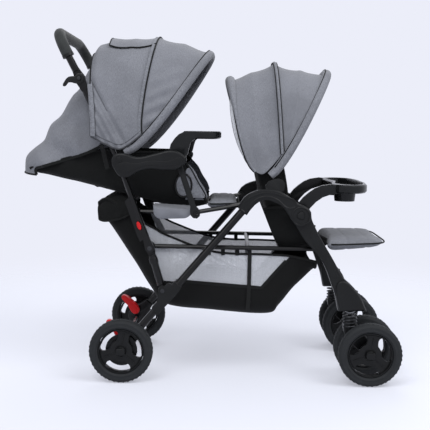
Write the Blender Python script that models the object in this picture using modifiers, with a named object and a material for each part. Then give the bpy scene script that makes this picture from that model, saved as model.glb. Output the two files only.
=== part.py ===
"""Tandem double stroller: two forward-facing seats on one folding tube frame.

Units are metres. +X is the way the children face, +Y is the stroller's left, +Z is up.
The origin lies on the floor under the middle of the whole stroller.
Run with: blender --background --python part.py
"""
import math

import bmesh
import bpy
from mathutils import Matrix, Vector

# Overall sizes
HALF_LENGTH = 0.565
WHEEL_R = 0.0925
TYRE_WIDTH = 0.036
TYRE_SECTION = 0.0275
FRAME_HALF_WIDTH = 0.212
HALF_TRACK = FRAME_HALF_WIDTH + 0.038
REAR_AXLE_X = -0.243
FRONT_AXLE_X = 0.473
CASTER_X = 0.420
CASTER_Y = FRAME_HALF_WIDTH - 0.017
HUB_RADIUS = 0.018
HUB_HALF = 0.0165
AXLE_R = 0.0059
FIT = 0.0004
FACE_GAP = 0.0003

# Tubes, and the layers of the frame, measured from the middle plane
TUBE_R = 0.011
TUBE_Y = FRAME_HALF_WIDTH
TUBE_INNER_Y = TUBE_Y - TUBE_R
TUBE_OUTER_Y = TUBE_Y + TUBE_R
RAIL_R = 0.0065
PIN_R = 0.005
CLOTH = 0.003
SEAM = 0.0008
HEM_R = 0.0135
ARCH_INNER_Y = TUBE_INNER_Y - 0.0045
ARCH_OUTER_Y = TUBE_OUTER_Y + 0.0025
HUB_INNER_Y = TUBE_INNER_Y - 0.0025
CLAMP_WALL = 0.0035
STRUT_INNER_Y = TUBE_OUTER_Y + CLAMP_WALL
STRUT_THICK = 0.004
ARMREST_INNER_Y = STRUT_INNER_Y + STRUT_THICK + 0.0005
ARMREST_THICK = 0.027
LEVER_THICK = 0.0066
LEG_OUTER_Y = TUBE_Y + 0.0005
LEG_INNER_Y = LEG_OUTER_Y - 0.0325
UPPER_RAIL_Y = ARCH_INNER_Y - RAIL_R - 0.002
TRAY_ARM_THICK = 0.016
TRAY_ARM_Y = TUBE_INNER_Y - TRAY_ARM_THICK / 2 - 0.002
FRONT_TRAY_ARM_Y = LEG_INNER_Y - 0.001
LOWER_RAIL_Y = LEG_INNER_Y - RAIL_R - 0.0015
LOWER_PIN_Y = LOWER_RAIL_Y - RAIL_R
REAR_SEAT_HALF = UPPER_RAIL_Y - 0.020
FRONT_SEAT_HALF = LOWER_PIN_Y - 0.0025
REAR_CANOPY_HALF = TUBE_INNER_Y - HEM_R - 0.0035
FRONT_CANOPY_HALF = ARCH_INNER_Y - HEM_R - 0.007

# Pivots of the folding frame in side view (x, z)
REAR_AXLE = (REAR_AXLE_X, WHEEL_R)
FRONT_AXLE = (FRONT_AXLE_X, WHEEL_R)
LINK_FOOT = (-0.127, 0.264)
KNEE = (-0.165, 0.387)
RAIL_REAR = (-0.203, 0.490)
ARMREST_HINGE = (-0.250, 0.628)
HANDLE_HINGE = (-0.366, 0.868)
HANDLE_TOP = (-0.434, 0.999)
ARCH_FOOT = (0.100, 0.497)
RAIL_FRONT = (0.103, 0.515)
STRUT_FOOT = (-0.034, 0.490)
FRONT_JOINT = (0.268, 0.488)
SEAT_BAR = (-0.085, 0.4893)
LEG_PIN = (0.322, 0.385)
REAR_TRAY_HINGE = (-0.085, 0.655)
REAR_RECLINE = (-0.130, 0.512)
FRONT_RECLINE = (0.172, 0.412)
REAR_LEG_REST_HINGE = (-0.002, 0.497)
FRONT_LEG_REST_HINGE = (0.352, 0.374)
REAR_CANOPY_HINGE = (-0.228, 0.636)
FRONT_CANOPY_HINGE = (0.200, 0.577)
RED_BUTTON = (-0.196, 0.452)
BRAKE_PIVOT = (REAR_AXLE_X - 0.004, WHEEL_R + 0.026)

# Foam, handle and front wheels
HANDLE_R = 0.0105
GRIP_R = 0.0165
HANDLE_HALF_WIDTH = TUBE_Y
FRONT_INNER_Y = 2 * CASTER_Y - HALF_TRACK
CASTER_TOP_Z = 0.268
TRAY_TOP_Z = 0.576
SPRING_R = 0.0142
SPRING_WIRE_R = 0.0020
SPRING_TURNS = 5
SPRING_LOW_Z = 0.194
SPRING_HIGH_Z = 0.260
LEG_REST_THICK = 0.026
HANDLE_CORNER = 0.070
WHEEL_STEPS = 20


def clear_scene():
    for obj in list(bpy.data.objects):
        bpy.data.objects.remove(obj)


def new_collection(name):
    group = bpy.data.collections.new(name)
    bpy.context.scene.collection.children.link(group)
    return group


clear_scene()
PARTS = new_collection("tandem_stroller")
GUIDES = new_collection("cutters")
PIVOTS = {}


def finish_material(name, color, roughness, metallic=0.0):
    mat = bpy.data.materials.new(name)
    mat.use_nodes = True
    shader = mat.node_tree.nodes["Principled BSDF"]
    shader.inputs["Base Color"].default_value = (*color, 1.0)
    shader.inputs["Roughness"].default_value = roughness
    shader.inputs["Metallic"].default_value = metallic
    return mat


FINISHES = {
    "frame": ((0.020, 0.021, 0.023), 0.32, 0.6),
    "plastic": ((0.022, 0.023, 0.024), 0.5, 0.0),
    "tyre": ((0.018, 0.018, 0.019), 0.75, 0.0),
    "foam": ((0.030, 0.032, 0.033), 0.8, 0.0),
    "red": ((0.55, 0.02, 0.02), 0.4, 0.0),
    "steel": ((0.55, 0.56, 0.58), 0.3, 1.0),
    "black_cloth": ((0.016, 0.016, 0.018), 0.9, 0.0),
    "grey_cloth": ((0.22, 0.225, 0.24), 0.9, 0.0),
}


# Placing and joining

def pivot(name, x, z, y=0.0, parent=None):
    """An empty on a joint's axis; the pieces that turn about it are its children."""
    empty = bpy.data.objects.new("axis_" + name, None)
    PARTS.objects.link(empty)
    here = Vector((x, y, z))
    empty.location = here
    if parent:
        above, there = PIVOTS[parent]
        empty.parent = above
        empty.location = here - there
    PIVOTS[name] = (empty, here)


def keep(obj, name, finish, on=None, smooth=True):
    """Names a piece, gives it its own material and hangs it on its pivot."""
    obj.name = name
    obj.data.name = name
    color, roughness, metallic = FINISHES[finish]
    obj.data.materials.clear()
    obj.data.materials.append(finish_material(name, color, roughness, metallic))
    if on:
        empty, here = PIVOTS[on]
        obj.parent = empty
        obj.location = obj.location - here
    if smooth and obj.type == "MESH":
        obj.data.shade_smooth()
        obj.data.set_sharp_from_angle(angle=math.radians(35))
    return obj


def mesh_object(name, bm, group=None):
    mesh = bpy.data.meshes.new(name)
    bm.to_mesh(mesh)
    bm.free()
    obj = bpy.data.objects.new(name, mesh)
    (group or PARTS).objects.link(obj)
    return obj


def as_mesh(obj):
    """The evaluated shape of an object as a closed mesh object in its place."""
    depsgraph = bpy.context.evaluated_depsgraph_get()
    mesh = bpy.data.meshes.new_from_object(obj.evaluated_get(depsgraph))
    bm = bmesh.new()
    bm.from_mesh(mesh)
    bmesh.ops.remove_doubles(bm, verts=bm.verts, dist=0.00002)
    bmesh.ops.dissolve_limit(bm, angle_limit=math.radians(0.05), verts=bm.verts, edges=bm.edges)
    bmesh.ops.recalc_face_normals(bm, faces=bm.faces)
    bm.to_mesh(mesh)
    bm.free()
    solid = bpy.data.objects.new(obj.name, mesh)
    solid.matrix_world = obj.matrix_world.copy()
    PARTS.objects.link(solid)
    bpy.data.objects.remove(obj)
    return solid


def as_guide(obj):
    for group in list(obj.users_collection):
        group.objects.unlink(obj)
    GUIDES.objects.link(obj)
    obj.hide_render = True
    obj.display_type = "WIRE"
    return obj


def apply_boolean(obj, other, operation):
    """Joins or cuts with another closed mesh object and bakes the result."""
    bpy.context.view_layer.update()
    tool = obj.modifiers.new("tool", "BOOLEAN")
    tool.operation = operation
    tool.solver = "EXACT"
    tool.object = other
    bpy.context.view_layer.update()
    solid = as_mesh(obj)
    bpy.data.objects.remove(other)
    return solid


def join(obj, *others):
    for other in others:
        obj = apply_boolean(obj, other, "UNION")
    return obj


def cut(obj, *others):
    for other in others:
        obj = apply_boolean(obj, as_guide(other), "DIFFERENCE")
    return obj


# Shapes

def rod(x, z, y_low, y_high, radius, sides=12):
    """A cylinder across the stroller, along Y."""
    bm = bmesh.new()
    bmesh.ops.create_cone(bm, cap_ends=True, segments=sides, radius1=radius, radius2=radius,
                          depth=y_high - y_low)
    bmesh.ops.rotate(bm, verts=bm.verts, cent=(0, 0, 0), matrix=Matrix.Rotation(-math.pi / 2, 3, "X"))
    bmesh.ops.translate(bm, verts=bm.verts, vec=(x, (y_low + y_high) / 2, z))
    return mesh_object("rod", bm)


def post(x, y, z_low, z_high, radius, sides=12, radius_top=None):
    """An upright cylinder or cone."""
    bm = bmesh.new()
    bmesh.ops.create_cone(bm, cap_ends=True, segments=sides, radius1=radius,
                          radius2=radius if radius_top is None else radius_top,
                          depth=z_high - z_low)
    bmesh.ops.translate(bm, verts=bm.verts, vec=(x, y, (z_low + z_high) / 2))
    return mesh_object("post", bm)


def tube(points, radius, resolution=4):
    """A round tube along a line of 3D points, with closed ends."""
    curve = bpy.data.curves.new("tube", "CURVE")
    curve.dimensions = "3D"
    curve.bevel_depth = radius
    curve.bevel_resolution = resolution
    curve.use_fill_caps = True
    spline = curve.splines.new("POLY")
    spline.points.add(len(points) - 1)
    for slot, point in zip(spline.points, points):
        slot.co = (*point, 1.0)
    obj = bpy.data.objects.new("tube", curve)
    PARTS.objects.link(obj)
    return obj


def plate(outline, y_low, y_high, edge=0.0, steps=2):
    """A flat piece in side view: smooth points (x, z), sharp ones (x, z, 'corner')."""
    curve = bpy.data.curves.new("plate", "CURVE")
    curve.dimensions = "2D"
    curve.fill_mode = "BOTH"
    curve.resolution_u = steps
    curve.extrude = abs(y_high - y_low) / 2 - edge
    curve.bevel_depth = edge
    curve.bevel_resolution = 0
    curve.offset = -edge
    spline = curve.splines.new("BEZIER")
    spline.bezier_points.add(len(outline) - 1)
    spline.use_cyclic_u = True
    for slot, point in zip(spline.bezier_points, outline):
        slot.co = (point[0], point[1], 0.0)
        kind = "VECTOR" if len(point) == 3 else "AUTO"
        slot.handle_left_type = kind
        slot.handle_right_type = kind
    obj = bpy.data.objects.new("plate", curve)
    obj.rotation_euler = (math.pi / 2, 0, 0)
    obj.location = (0, (y_low + y_high) / 2, 0)
    PARTS.objects.link(obj)
    bpy.context.view_layer.update()
    return as_mesh(obj)


def slab(outline, z_low, z_high, edge=0.0, steps=2):
    """A flat piece in plan view, from smooth or sharp points (x, y)."""
    obj = plate(outline, -(z_high - z_low) / 2, (z_high - z_low) / 2, edge, steps)
    obj.rotation_euler = (0, 0, 0)
    obj.location = (0, 0, (z_low + z_high) / 2)
    bpy.context.view_layer.update()
    return obj


def sheet(rows, thickness):
    """An open grid of points given body inwards; each row runs from right to left."""
    bm = bmesh.new()
    grid = [[bm.verts.new(p) for p in row] for row in rows]
    for upper, lower in zip(grid, grid[1:]):
        for k in range(len(upper) - 1):
            bm.faces.new((upper[k], lower[k], lower[k + 1], upper[k + 1]))
    obj = mesh_object("sheet", bm)
    shell = obj.modifiers.new("body", "SOLIDIFY")
    shell.thickness = thickness
    shell.offset = 0.0
    shell.use_even_offset = True
    return obj


def bow(foot, crown, half_width, points=12, power=2.8, crown_width=None):
    """A hoop from the right foot over the crown to the left foot, squarish at the shoulders."""
    row = []
    for k in range(points + 1):
        angle = math.pi * k / points
        across = -math.copysign(abs(math.cos(angle)) ** (2 / power), math.cos(angle))
        rise = math.sin(angle) ** (2 / power) if 0 < k < points else 0.0
        width = half_width if crown_width is None else half_width + (crown_width - half_width) * rise
        row.append((foot[0] + (crown[0] - foot[0]) * rise, across * width,
                    foot[1] + (crown[1] - foot[1]) * rise))
    return row


def rounded(points, radius, steps=4):
    """A line of points whose inner corners are turned into arcs."""
    points = [Vector(p) for p in points]
    line = [points[0]]
    for before, corner, after in zip(points, points[1:], points[2:]):
        back = (before - corner).normalized()
        ahead = (after - corner).normalized()
        half = back.angle(ahead) / 2
        reach = radius / math.tan(half)
        start = corner + back * reach
        centre = corner + (back + ahead).normalized() * (radius / math.sin(half))
        turn = math.pi - 2 * half
        spoke = start - centre
        side = (ahead - back * ahead.dot(back)).normalized()
        for k in range(steps + 1):
            angle = turn * k / steps
            line.append(centre + spoke * math.cos(angle) - back * radius * math.sin(angle)
                        if side.length else corner)
    line.append(points[-1])
    return line


def towards(start, end, distance):
    """The point at a distance from start on the line to end, in side view."""
    dx, dz = end[0] - start[0], end[1] - start[1]
    length = math.hypot(dx, dz)
    return (start[0] + dx * distance / length, start[1] + dz * distance / length)


def turned(profile, x, z, y, steps=WHEEL_STEPS, closed=True):
    """A wheel part: an outline of (radius, width) points turned about a cross axis."""
    bm = bmesh.new()
    verts = [bm.verts.new((r, 0, w)) for r, w in profile]
    for start, end in zip(verts, verts[1:] + verts[:1] if closed else verts[1:]):
        bm.edges.new((start, end))
    obj = mesh_object("turned", bm)
    screw = obj.modifiers.new("turn", "SCREW")
    screw.angle = 2 * math.pi
    screw.steps = steps
    screw.render_steps = steps
    screw.use_merge_vertices = True
    screw.merge_threshold = 0.00002
    obj.rotation_euler = (-math.pi / 2, 0, 0)
    obj.location = (x, y, z)
    bpy.context.view_layer.update()
    return as_mesh(obj)


def sides():
    return (("left", 1.0), ("right", -1.0))


def span(side, inner, outer):
    """Lowest and highest Y of a layer on one side."""
    return (inner, outer) if side > 0 else (-outer, -inner)


# Wheels

def rim_profile():
    rim = WHEEL_R - TYRE_SECTION
    return [(0.0, 0.004), (rim - 0.007, 0.004), (rim, 0.0125), (rim, -0.0125), (rim - 0.007, -0.004),
            (0.0, -0.004)]


def tyre_profile():
    seat = WHEEL_R - TYRE_SECTION + FACE_GAP * 2
    half = TYRE_WIDTH / 2
    return [(WHEEL_R, 0.009), (WHEEL_R, -0.009), (WHEEL_R - 0.008, -half), (seat, -half + 0.004),
            (seat, half - 0.004), (WHEEL_R - 0.008, half)]


def spoke_window(x, z, y, middle_deg):
    """The gap between two flared spokes, as a thick arc that is cut from the rim's web."""
    inner, outer = HUB_RADIUS + 0.014, WHEEL_R - TYRE_SECTION - 0.0085
    spread_in, spread_out = math.radians(36), math.radians(40)
    middle = math.radians(middle_deg)
    outline = []
    for k in range(4):
        a = middle - spread_out + 2 * spread_out * k / 3
        outline.append((x + outer * math.cos(a), z + outer * math.sin(a), "corner"))
    for k in range(3):
        a = middle + spread_in - 2 * spread_in * k / 2
        outline.append((x + inner * math.cos(a), z + inner * math.sin(a), "corner"))
    return plate(outline, y - 0.03, y + 0.03, steps=1)


def make_rim(x, z, y):
    disc = turned(rim_profile(), x, z, y, closed=False)
    disc = cut(disc, *[spoke_window(x, z, y, middle) for middle in (140, 260, 20)])
    return join(disc, rod(x, z, y - HUB_HALF, y + HUB_HALF, HUB_RADIUS))


def make_wheels():
    for side_name, side in sides():
        on = "rear_wheel_" + side_name
        pivot(on, *REAR_AXLE, y=side * HALF_TRACK)
        bore = rod(*REAR_AXLE, -2 * HALF_TRACK, 2 * HALF_TRACK, AXLE_R + FIT)
        rim = cut(make_rim(*REAR_AXLE, side * HALF_TRACK), bore)
        keep(rim, "rear_rim_" + side_name, "plastic", on)
        tyre = turned(tyre_profile(), *REAR_AXLE, side * HALF_TRACK)
        keep(tyre, "rear_tyre_" + side_name, "tyre", on)
    for side_name, side in sides():
        on = "front_wheels_" + side_name
        pivot(on, *FRONT_AXLE, y=side * CASTER_Y, parent="fork_" + side_name)
        outer, inner = side * HALF_TRACK, side * FRONT_INNER_Y
        axle = rod(*FRONT_AXLE, *span(side, FRONT_INNER_Y - 0.021, HALF_TRACK + 0.021), AXLE_R)
        rims = join(make_rim(*FRONT_AXLE, outer), make_rim(*FRONT_AXLE, inner), axle)
        keep(rims, "front_rims_" + side_name, "plastic", on)
        for place, y in (("outer", outer), ("inner", inner)):
            tyre = turned(tyre_profile(), *FRONT_AXLE, y)
            keep(tyre, "front_tyre_%s_%s" % (place, side_name), "tyre", on)


# Rear legs, axle, hubs and brakes

HUB_REACH = 0.066
LEG_LINE = (ARCH_FOOT[0] - REAR_AXLE[0], ARCH_FOOT[1] - REAR_AXLE[1])
LEG_LENGTH = math.hypot(*LEG_LINE)
ALONG = (LEG_LINE[0] / LEG_LENGTH, LEG_LINE[1] / LEG_LENGTH)
ACROSS = (-ALONG[1], ALONG[0])


def on_leg(distance, offset=0.0):
    """A point at a distance up the rear leg from the axle, and off to its upper side."""
    return (REAR_AXLE[0] + ALONG[0] * distance + ACROSS[0] * offset,
            REAR_AXLE[1] + ALONG[1] * distance + ACROSS[1] * offset)


def lift(point, y):
    return (point[0], y, point[1])


def make_rear_legs():
    for side_name, side in sides():
        y = side * TUBE_Y
        leg = as_mesh(tube([lift(on_leg(HUB_REACH - 0.020), y),
                            lift(on_leg(LEG_LENGTH - FACE_GAP), y)], TUBE_R))
        hub_outline = [(*on_leg(HUB_REACH, 0.014), "corner"), (*on_leg(HUB_REACH, -0.014), "corner"),
                       on_leg(0.034, -0.020), on_leg(0.004, -0.030), on_leg(-0.027, -0.008),
                       on_leg(-0.020, 0.024), on_leg(0.008, 0.032), on_leg(0.036, 0.022)]
        hub = plate(hub_outline, *span(side, HUB_INNER_Y, HALF_TRACK - HUB_HALF - 0.003), edge=0.003)
        hub = cut(hub, rod(*REAR_AXLE, -HALF_TRACK, HALF_TRACK, AXLE_R + FIT))
        keep(join(leg, hub), "rear_leg_" + side_name, "frame")
    axle = rod(*REAR_AXLE, -HALF_TRACK - 0.022, HALF_TRACK + 0.022, AXLE_R)
    keep(axle, "rear_axle", "steel")


def make_brakes():
    for side_name, side in sides():
        on = "brake_pedal_" + side_name
        pivot(on, *BRAKE_PIVOT, y=side * (HUB_INNER_Y - FACE_GAP))
        px, pz = BRAKE_PIVOT
        outline = [(px + 0.013, pz - 0.004), (px + 0.008, pz + 0.013), (px - 0.014, pz + 0.036),
                   (px - 0.034, pz + 0.050), (px - 0.046, pz + 0.048), (px - 0.046, pz + 0.038),
                   (px - 0.026, pz + 0.016), (px - 0.012, pz - 0.008), (px + 0.002, pz - 0.014)]
        pedal = plate(outline, *span(side, HUB_INNER_Y - 0.0225, HUB_INNER_Y - FACE_GAP), edge=0.002)
        keep(pedal, "brake_pedal_" + side_name, "red", on)


def make_brackets():
    """The Y-shaped clamp on each rear leg, with the ear that the lower link turns on."""
    for side_name, side in sides():
        at = 0.187
        outline = [(*on_leg(at - 0.040, 0.0137), "corner"), (*on_leg(at - 0.046, -0.0137), "corner"),
                   (*on_leg(at + 0.040, -0.0150), "corner"), (*on_leg(at + 0.062, -0.0130), "corner"),
                   (*on_leg(at + 0.062, 0.0130), "corner"), (*on_leg(at + 0.034, 0.0137), "corner")]
        clamp = plate(outline, *span(side, TUBE_INNER_Y - CLAMP_WALL, TUBE_OUTER_Y + CLAMP_WALL), steps=1)
        fx, fz = LINK_FOOT
        ear_outline = [(*on_leg(at - 0.024, 0.010), "corner"), (*on_leg(at + 0.052, 0.010), "corner"),
                       on_leg(at + 0.046, 0.024), on_leg(at + 0.028, 0.031), (fx + 0.004, fz + 0.016),
                       (fx - 0.012, fz + 0.006), (fx - 0.012, fz - 0.008)]
        ear = plate(ear_outline, *span(side, TUBE_Y + FACE_GAP, TUBE_OUTER_Y + CLAMP_WALL))
        pin = rod(fx, fz, *span(side, TUBE_INNER_Y, TUBE_Y + 0.008), PIN_R)
        clamp = join(clamp, ear, pin)
        y = side * TUBE_Y
        bore = tube([lift(on_leg(0.08), y), lift(on_leg(0.32), y)], TUBE_R + FACE_GAP)
        clamp = cut(clamp, as_mesh(bore))
        keep(clamp, "y_bracket_" + side_name, "plastic")


def arch_button_outline(grow):
    """The three-sided release button in the middle of the front joint."""
    jx, jz = FRONT_JOINT
    outline = []
    for k in range(6):
        angle = math.radians(75 + 60 * k)
        reach = (0.0125 if k % 2 == 0 else 0.0095) + grow
        outline.append((jx + reach * math.cos(angle), jz + reach * math.sin(angle)))
    return outline


def make_arches():
    """The moulded arches over the front seat, ending in the round joint of the front legs."""
    jx, jz = FRONT_JOINT
    fx, fz = ARCH_FOOT
    for side_name, side in sides():
        outline = [(*on_leg(LEG_LENGTH, -0.0165), "corner"), (*on_leg(LEG_LENGTH, 0.0165), "corner"),
                   (fx + 0.004, fz + 0.040), (fx + 0.033, fz + 0.058), (fx + 0.070, fz + 0.065),
                   (fx + 0.110, fz + 0.058), (jx - 0.006, jz + 0.033), (jx + 0.022, jz + 0.021),
                   (jx + 0.030, jz - 0.002), (jx + 0.018, jz - 0.025), (jx - 0.008, jz - 0.029),
                   (jx - 0.028, jz - 0.012), (jx - 0.048, jz + 0.020), (fx + 0.088, fz + 0.030),
                   (fx + 0.062, fz + 0.034), (fx + 0.036, fz + 0.020)]
        arch = plate(outline, *span(side, ARCH_INNER_Y, ARCH_OUTER_Y), edge=0.003)
        relief = rod(jx, jz, *span(side, ARCH_INNER_Y - 0.01, LEG_OUTER_Y + FACE_GAP * 2), 0.036, sides=20)
        arch = cut(arch, relief)
        recess = plate(arch_button_outline(0.0005), *span(side, ARCH_OUTER_Y - 0.007, ARCH_OUTER_Y + 0.01))
        arch = cut(arch, recess)
        pin = rod(jx, jz, *span(side, FRONT_SEAT_HALF + CLOTH / 2 + FIT, TUBE_Y + 0.006), PIN_R + 0.001)
        arch = join(arch, pin)
        hx, hz = FRONT_CANOPY_HINGE
        clip = [(hx - 0.034, hz - 0.006), (hx - 0.020, hz - 0.030), (hx + 0.010, hz - 0.030),
                (hx + 0.022, hz - 0.010), (hx + 0.016, hz + 0.010), (hx - 0.012, hz + 0.012)]
        arch = join(arch, plate(clip, *span(side, FRONT_CANOPY_HALF + HEM_R + FIT, ARCH_INNER_Y + 0.002)))
        keep(arch, "front_arch_" + side_name, "plastic")
        on = "arch_button_" + side_name
        pivot(on, jx, jz, y=side * ARCH_OUTER_Y)
        button = plate(arch_button_outline(0.0),
                       *span(side, ARCH_OUTER_Y - 0.0035, ARCH_OUTER_Y + 0.0030))
        keep(button, "arch_button_" + side_name, "plastic", on)


# Folding linkage

def make_lower_links():
    """The short links between the brackets and the knees, with a clamping collar."""
    for side_name, side in sides():
        y = side * TUBE_Y
        body = tube([lift(towards(LINK_FOOT, KNEE, 0.0165), y), lift(towards(KNEE, LINK_FOOT, 0.022), y)],
                    TUBE_R)
        body = as_mesh(body)
        collar = as_mesh(tube([lift(towards(KNEE, LINK_FOOT, 0.030), y),
                               lift(towards(KNEE, LINK_FOOT, 0.046), y)], TUBE_R + 0.002))
        body = join(body, collar)
        for centre, other, radius in ((LINK_FOOT, KNEE, 0.0080), (KNEE, LINK_FOOT, 0.0135)):
            lug = [(*offset_point(centre, other, 0.0, radius), "corner"),
                   (*offset_point(centre, other, 0.028, 0.009), "corner"),
                   (*offset_point(centre, other, 0.028, -0.009), "corner"),
                   (*offset_point(centre, other, 0.0, -radius), "corner"),
                   (*offset_point(centre, other, -radius * 0.7, -radius * 0.7), "corner"),
                   (*offset_point(centre, other, -radius, 0.0), "corner"),
                   (*offset_point(centre, other, -radius * 0.7, radius * 0.7), "corner")]
            body = join(body, plate(lug, *span(side, TUBE_INNER_Y + 0.0005, TUBE_Y - 0.0005), steps=1))
            body = cut(body, rod(*centre, *span(side, TUBE_INNER_Y - 0.01, TUBE_Y - 0.0001), PIN_R + FIT))
        keep(body, "lower_link_" + side_name, "frame", "lower_links")


def offset_point(start, end, along, across):
    """A point measured along and across the line from start to end."""
    dx, dz = end[0] - start[0], end[1] - start[1]
    length = math.hypot(dx, dz)
    dx, dz = dx / length, dz / length
    return (start[0] + dx * along - dz * across, start[1] + dz * along + dx * across)


def make_uprights():
    """The tubes from the knees past the armrests to the handle hinges."""
    for side_name, side in sides():
        y = side * TUBE_Y
        line = [lift(towards(KNEE, ARMREST_HINGE, 0.022), y), lift(ARMREST_HINGE, y),
                lift(towards(HANDLE_HINGE, ARMREST_HINGE, 0.026), y)]
        body = as_mesh(tube(rounded(line, 0.35, 3), TUBE_R))
        lug = [(*offset_point(KNEE, ARMREST_HINGE, 0.0, 0.0135), "corner"),
               (*offset_point(KNEE, ARMREST_HINGE, 0.034, 0.009), "corner"),
               (*offset_point(KNEE, ARMREST_HINGE, 0.034, -0.009), "corner"),
               (*offset_point(KNEE, ARMREST_HINGE, 0.0, -0.0135), "corner"),
               (*offset_point(KNEE, ARMREST_HINGE, -0.010, -0.010), "corner"),
               (*offset_point(KNEE, ARMREST_HINGE, -0.0135, 0.0), "corner"),
               (*offset_point(KNEE, ARMREST_HINGE, -0.010, 0.010), "corner")]
        top = [(*offset_point(HANDLE_HINGE, ARMREST_HINGE, 0.036, 0.010), "corner"),
               (*offset_point(HANDLE_HINGE, ARMREST_HINGE, 0.036, -0.010), "corner"),
               (*offset_point(HANDLE_HINGE, ARMREST_HINGE, 0.0, -0.0150), "corner"),
               (*offset_point(HANDLE_HINGE, ARMREST_HINGE, -0.011, -0.011), "corner"),
               (*offset_point(HANDLE_HINGE, ARMREST_HINGE, -0.0150, 0.0), "corner"),
               (*offset_point(HANDLE_HINGE, ARMREST_HINGE, -0.011, 0.011), "corner"),
               (*offset_point(HANDLE_HINGE, ARMREST_HINGE, 0.0, 0.0150), "corner")]
        body = join(body, plate(lug, *span(side, TUBE_Y, TUBE_OUTER_Y), steps=1),
                    plate(top, *span(side, TUBE_Y, TUBE_OUTER_Y), steps=1),
                    rod(*KNEE, *span(side, LOWER_PIN_Y, TUBE_Y + 0.006), PIN_R),
                    rod(*HANDLE_HINGE, *span(side, TUBE_INNER_Y - 0.0005,
                                             TUBE_OUTER_Y + LEVER_THICK + 0.0034), PIN_R))
        lock_outline = [(*offset_point(KNEE, ARMREST_HINGE, 0.030, 0.004), "corner"),
                        (*offset_point(KNEE, ARMREST_HINGE, 0.026, 0.030), "corner"),
                        (*offset_point(KNEE, ARMREST_HINGE, 0.046, 0.034), "corner"),
                        (*offset_point(KNEE, ARMREST_HINGE, 0.150, 0.029), "corner"),
                        (*offset_point(KNEE, ARMREST_HINGE, 0.160, 0.004), "corner")]
        lock = plate(lock_outline, *span(side, TUBE_INNER_Y + 0.002, TUBE_OUTER_Y - 0.0015), steps=1)
        bx, bz = RED_BUTTON
        slot = plate(button_outline(0.0005), *span(side, TUBE_OUTER_Y - 0.008, TUBE_OUTER_Y + 0.007), steps=2)
        hx, hz = REAR_CANOPY_HINGE
        clip = [(hx - 0.030, hz - 0.012), (hx - 0.012, hz - 0.020), (hx + 0.018, hz - 0.012),
                (hx + 0.022, hz + 0.004), (hx + 0.004, hz + 0.014), (hx - 0.026, hz + 0.010)]
        clip = plate(clip, *span(side, REAR_CANOPY_HALF + HEM_R + FIT, TUBE_Y - TUBE_R + 0.003))
        body = cut(join(body, lock, clip), slot)
        keep(body, "upright_" + side_name, "frame", "uprights")
        on = "fold_button_" + side_name
        pivot(on, bx, bz, y=side * (TUBE_OUTER_Y - 0.0015), parent="uprights")
        button = plate(button_outline(0.0), *span(side, TUBE_OUTER_Y - 0.005, TUBE_OUTER_Y + 0.002), steps=2)
        keep(button, "fold_button_" + side_name, "red", on)


def button_outline(grow):
    """The slim red button, lying along the upright."""
    start, end = RED_BUTTON, (RED_BUTTON[0] - 0.0350, RED_BUTTON[1] + 0.0935)
    half_long, half_wide = 0.0125 + grow, 0.0045 + grow
    return [offset_point(start, end, half_long, 0.0),
            offset_point(start, end, half_long * 0.6, half_wide),
            offset_point(start, end, -half_long * 0.6, half_wide),
            offset_point(start, end, -half_long, 0.0),
            offset_point(start, end, -half_long * 0.6, -half_wide),
            offset_point(start, end, half_long * 0.6, -half_wide)]


def make_rails():
    """Lower rails from knee to front leg with a cross tube, and the rear seat's own frame."""
    middle = towards(KNEE, LEG_PIN, 0.285)
    rails = rod(*middle, -LOWER_RAIL_Y, LOWER_RAIL_Y, 0.0055)
    for _, side in sides():
        y = side * LOWER_RAIL_Y
        rear, front = towards(KNEE, LEG_PIN, 0.012), towards(LEG_PIN, KNEE, 0.010)
        rail = as_mesh(tube([lift(rear, y), lift(front, y)], RAIL_R, 2))
        rails = join(rails, rail, rod(*KNEE, *span(side, LOWER_PIN_Y, LOWER_RAIL_Y + RAIL_R), 0.0125),
                     rod(*LEG_PIN, *span(side, LOWER_PIN_Y, LEG_INNER_Y - FACE_GAP), 0.0105))
    for _, side in sides():
        rails = cut(rails, rod(*KNEE, *span(side, LOWER_PIN_Y - 0.01, TUBE_INNER_Y), PIN_R + FIT))
    keep(rails, "lower_rails", "frame", "lower_rails")
    x, z = SEAT_BAR
    frame = rod(x, z, -UPPER_RAIL_Y, UPPER_RAIL_Y, 0.005)
    for _, side in sides():
        y = side * UPPER_RAIL_Y
        rail = as_mesh(tube([lift(RAIL_REAR, y), lift(STRUT_FOOT, y), lift(RAIL_FRONT, y)], RAIL_R, 2))
        inner = UPPER_RAIL_Y - 0.005
        frame = join(frame, rail, rod(*RAIL_REAR, *span(side, inner, TUBE_INNER_Y - 0.0005), 0.009),
                     rod(*RAIL_FRONT, *span(side, inner, ARCH_INNER_Y - FACE_GAP), 0.009),
                     rod(*STRUT_FOOT, *span(side, inner, STRUT_INNER_Y + 0.0065), PIN_R))
    keep(frame, "rear_seat_frame", "frame", "rear_seat_frame")


def make_front_legs():
    """The moulded blades from the front joint down to the casters."""
    jx, jz = FRONT_JOINT
    for side_name, side in sides():
        outline = [(jx - 0.022, jz + 0.010), (jx, jz + 0.026), (jx + 0.024, jz + 0.012),
                   (jx + 0.036, jz - 0.020), (0.366, 0.352), (0.402, 0.308), (0.444, 0.282),
                   (0.4480, CASTER_TOP_Z, "corner"), (0.3850, CASTER_TOP_Z, "corner"),
                   (0.376, 0.285), (0.323, 0.351), (jx - 0.010, jz - 0.050)]
        leg = plate(outline, *span(side, LEG_INNER_Y, LEG_OUTER_Y), edge=0.004)
        leg = cut(leg, rod(jx, jz, *span(side, LEG_INNER_Y - 0.03, LEG_OUTER_Y + 0.03), PIN_R + 0.001 + FIT))
        keep(leg, "front_leg_" + side_name, "plastic", "front_legs")
    reach = LEG_INNER_Y - FACE_GAP
    cross = rod(0.350, 0.350, -reach, reach, 0.008)
    keep(cross, "front_cross_tube", "frame", "front_legs")


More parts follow.
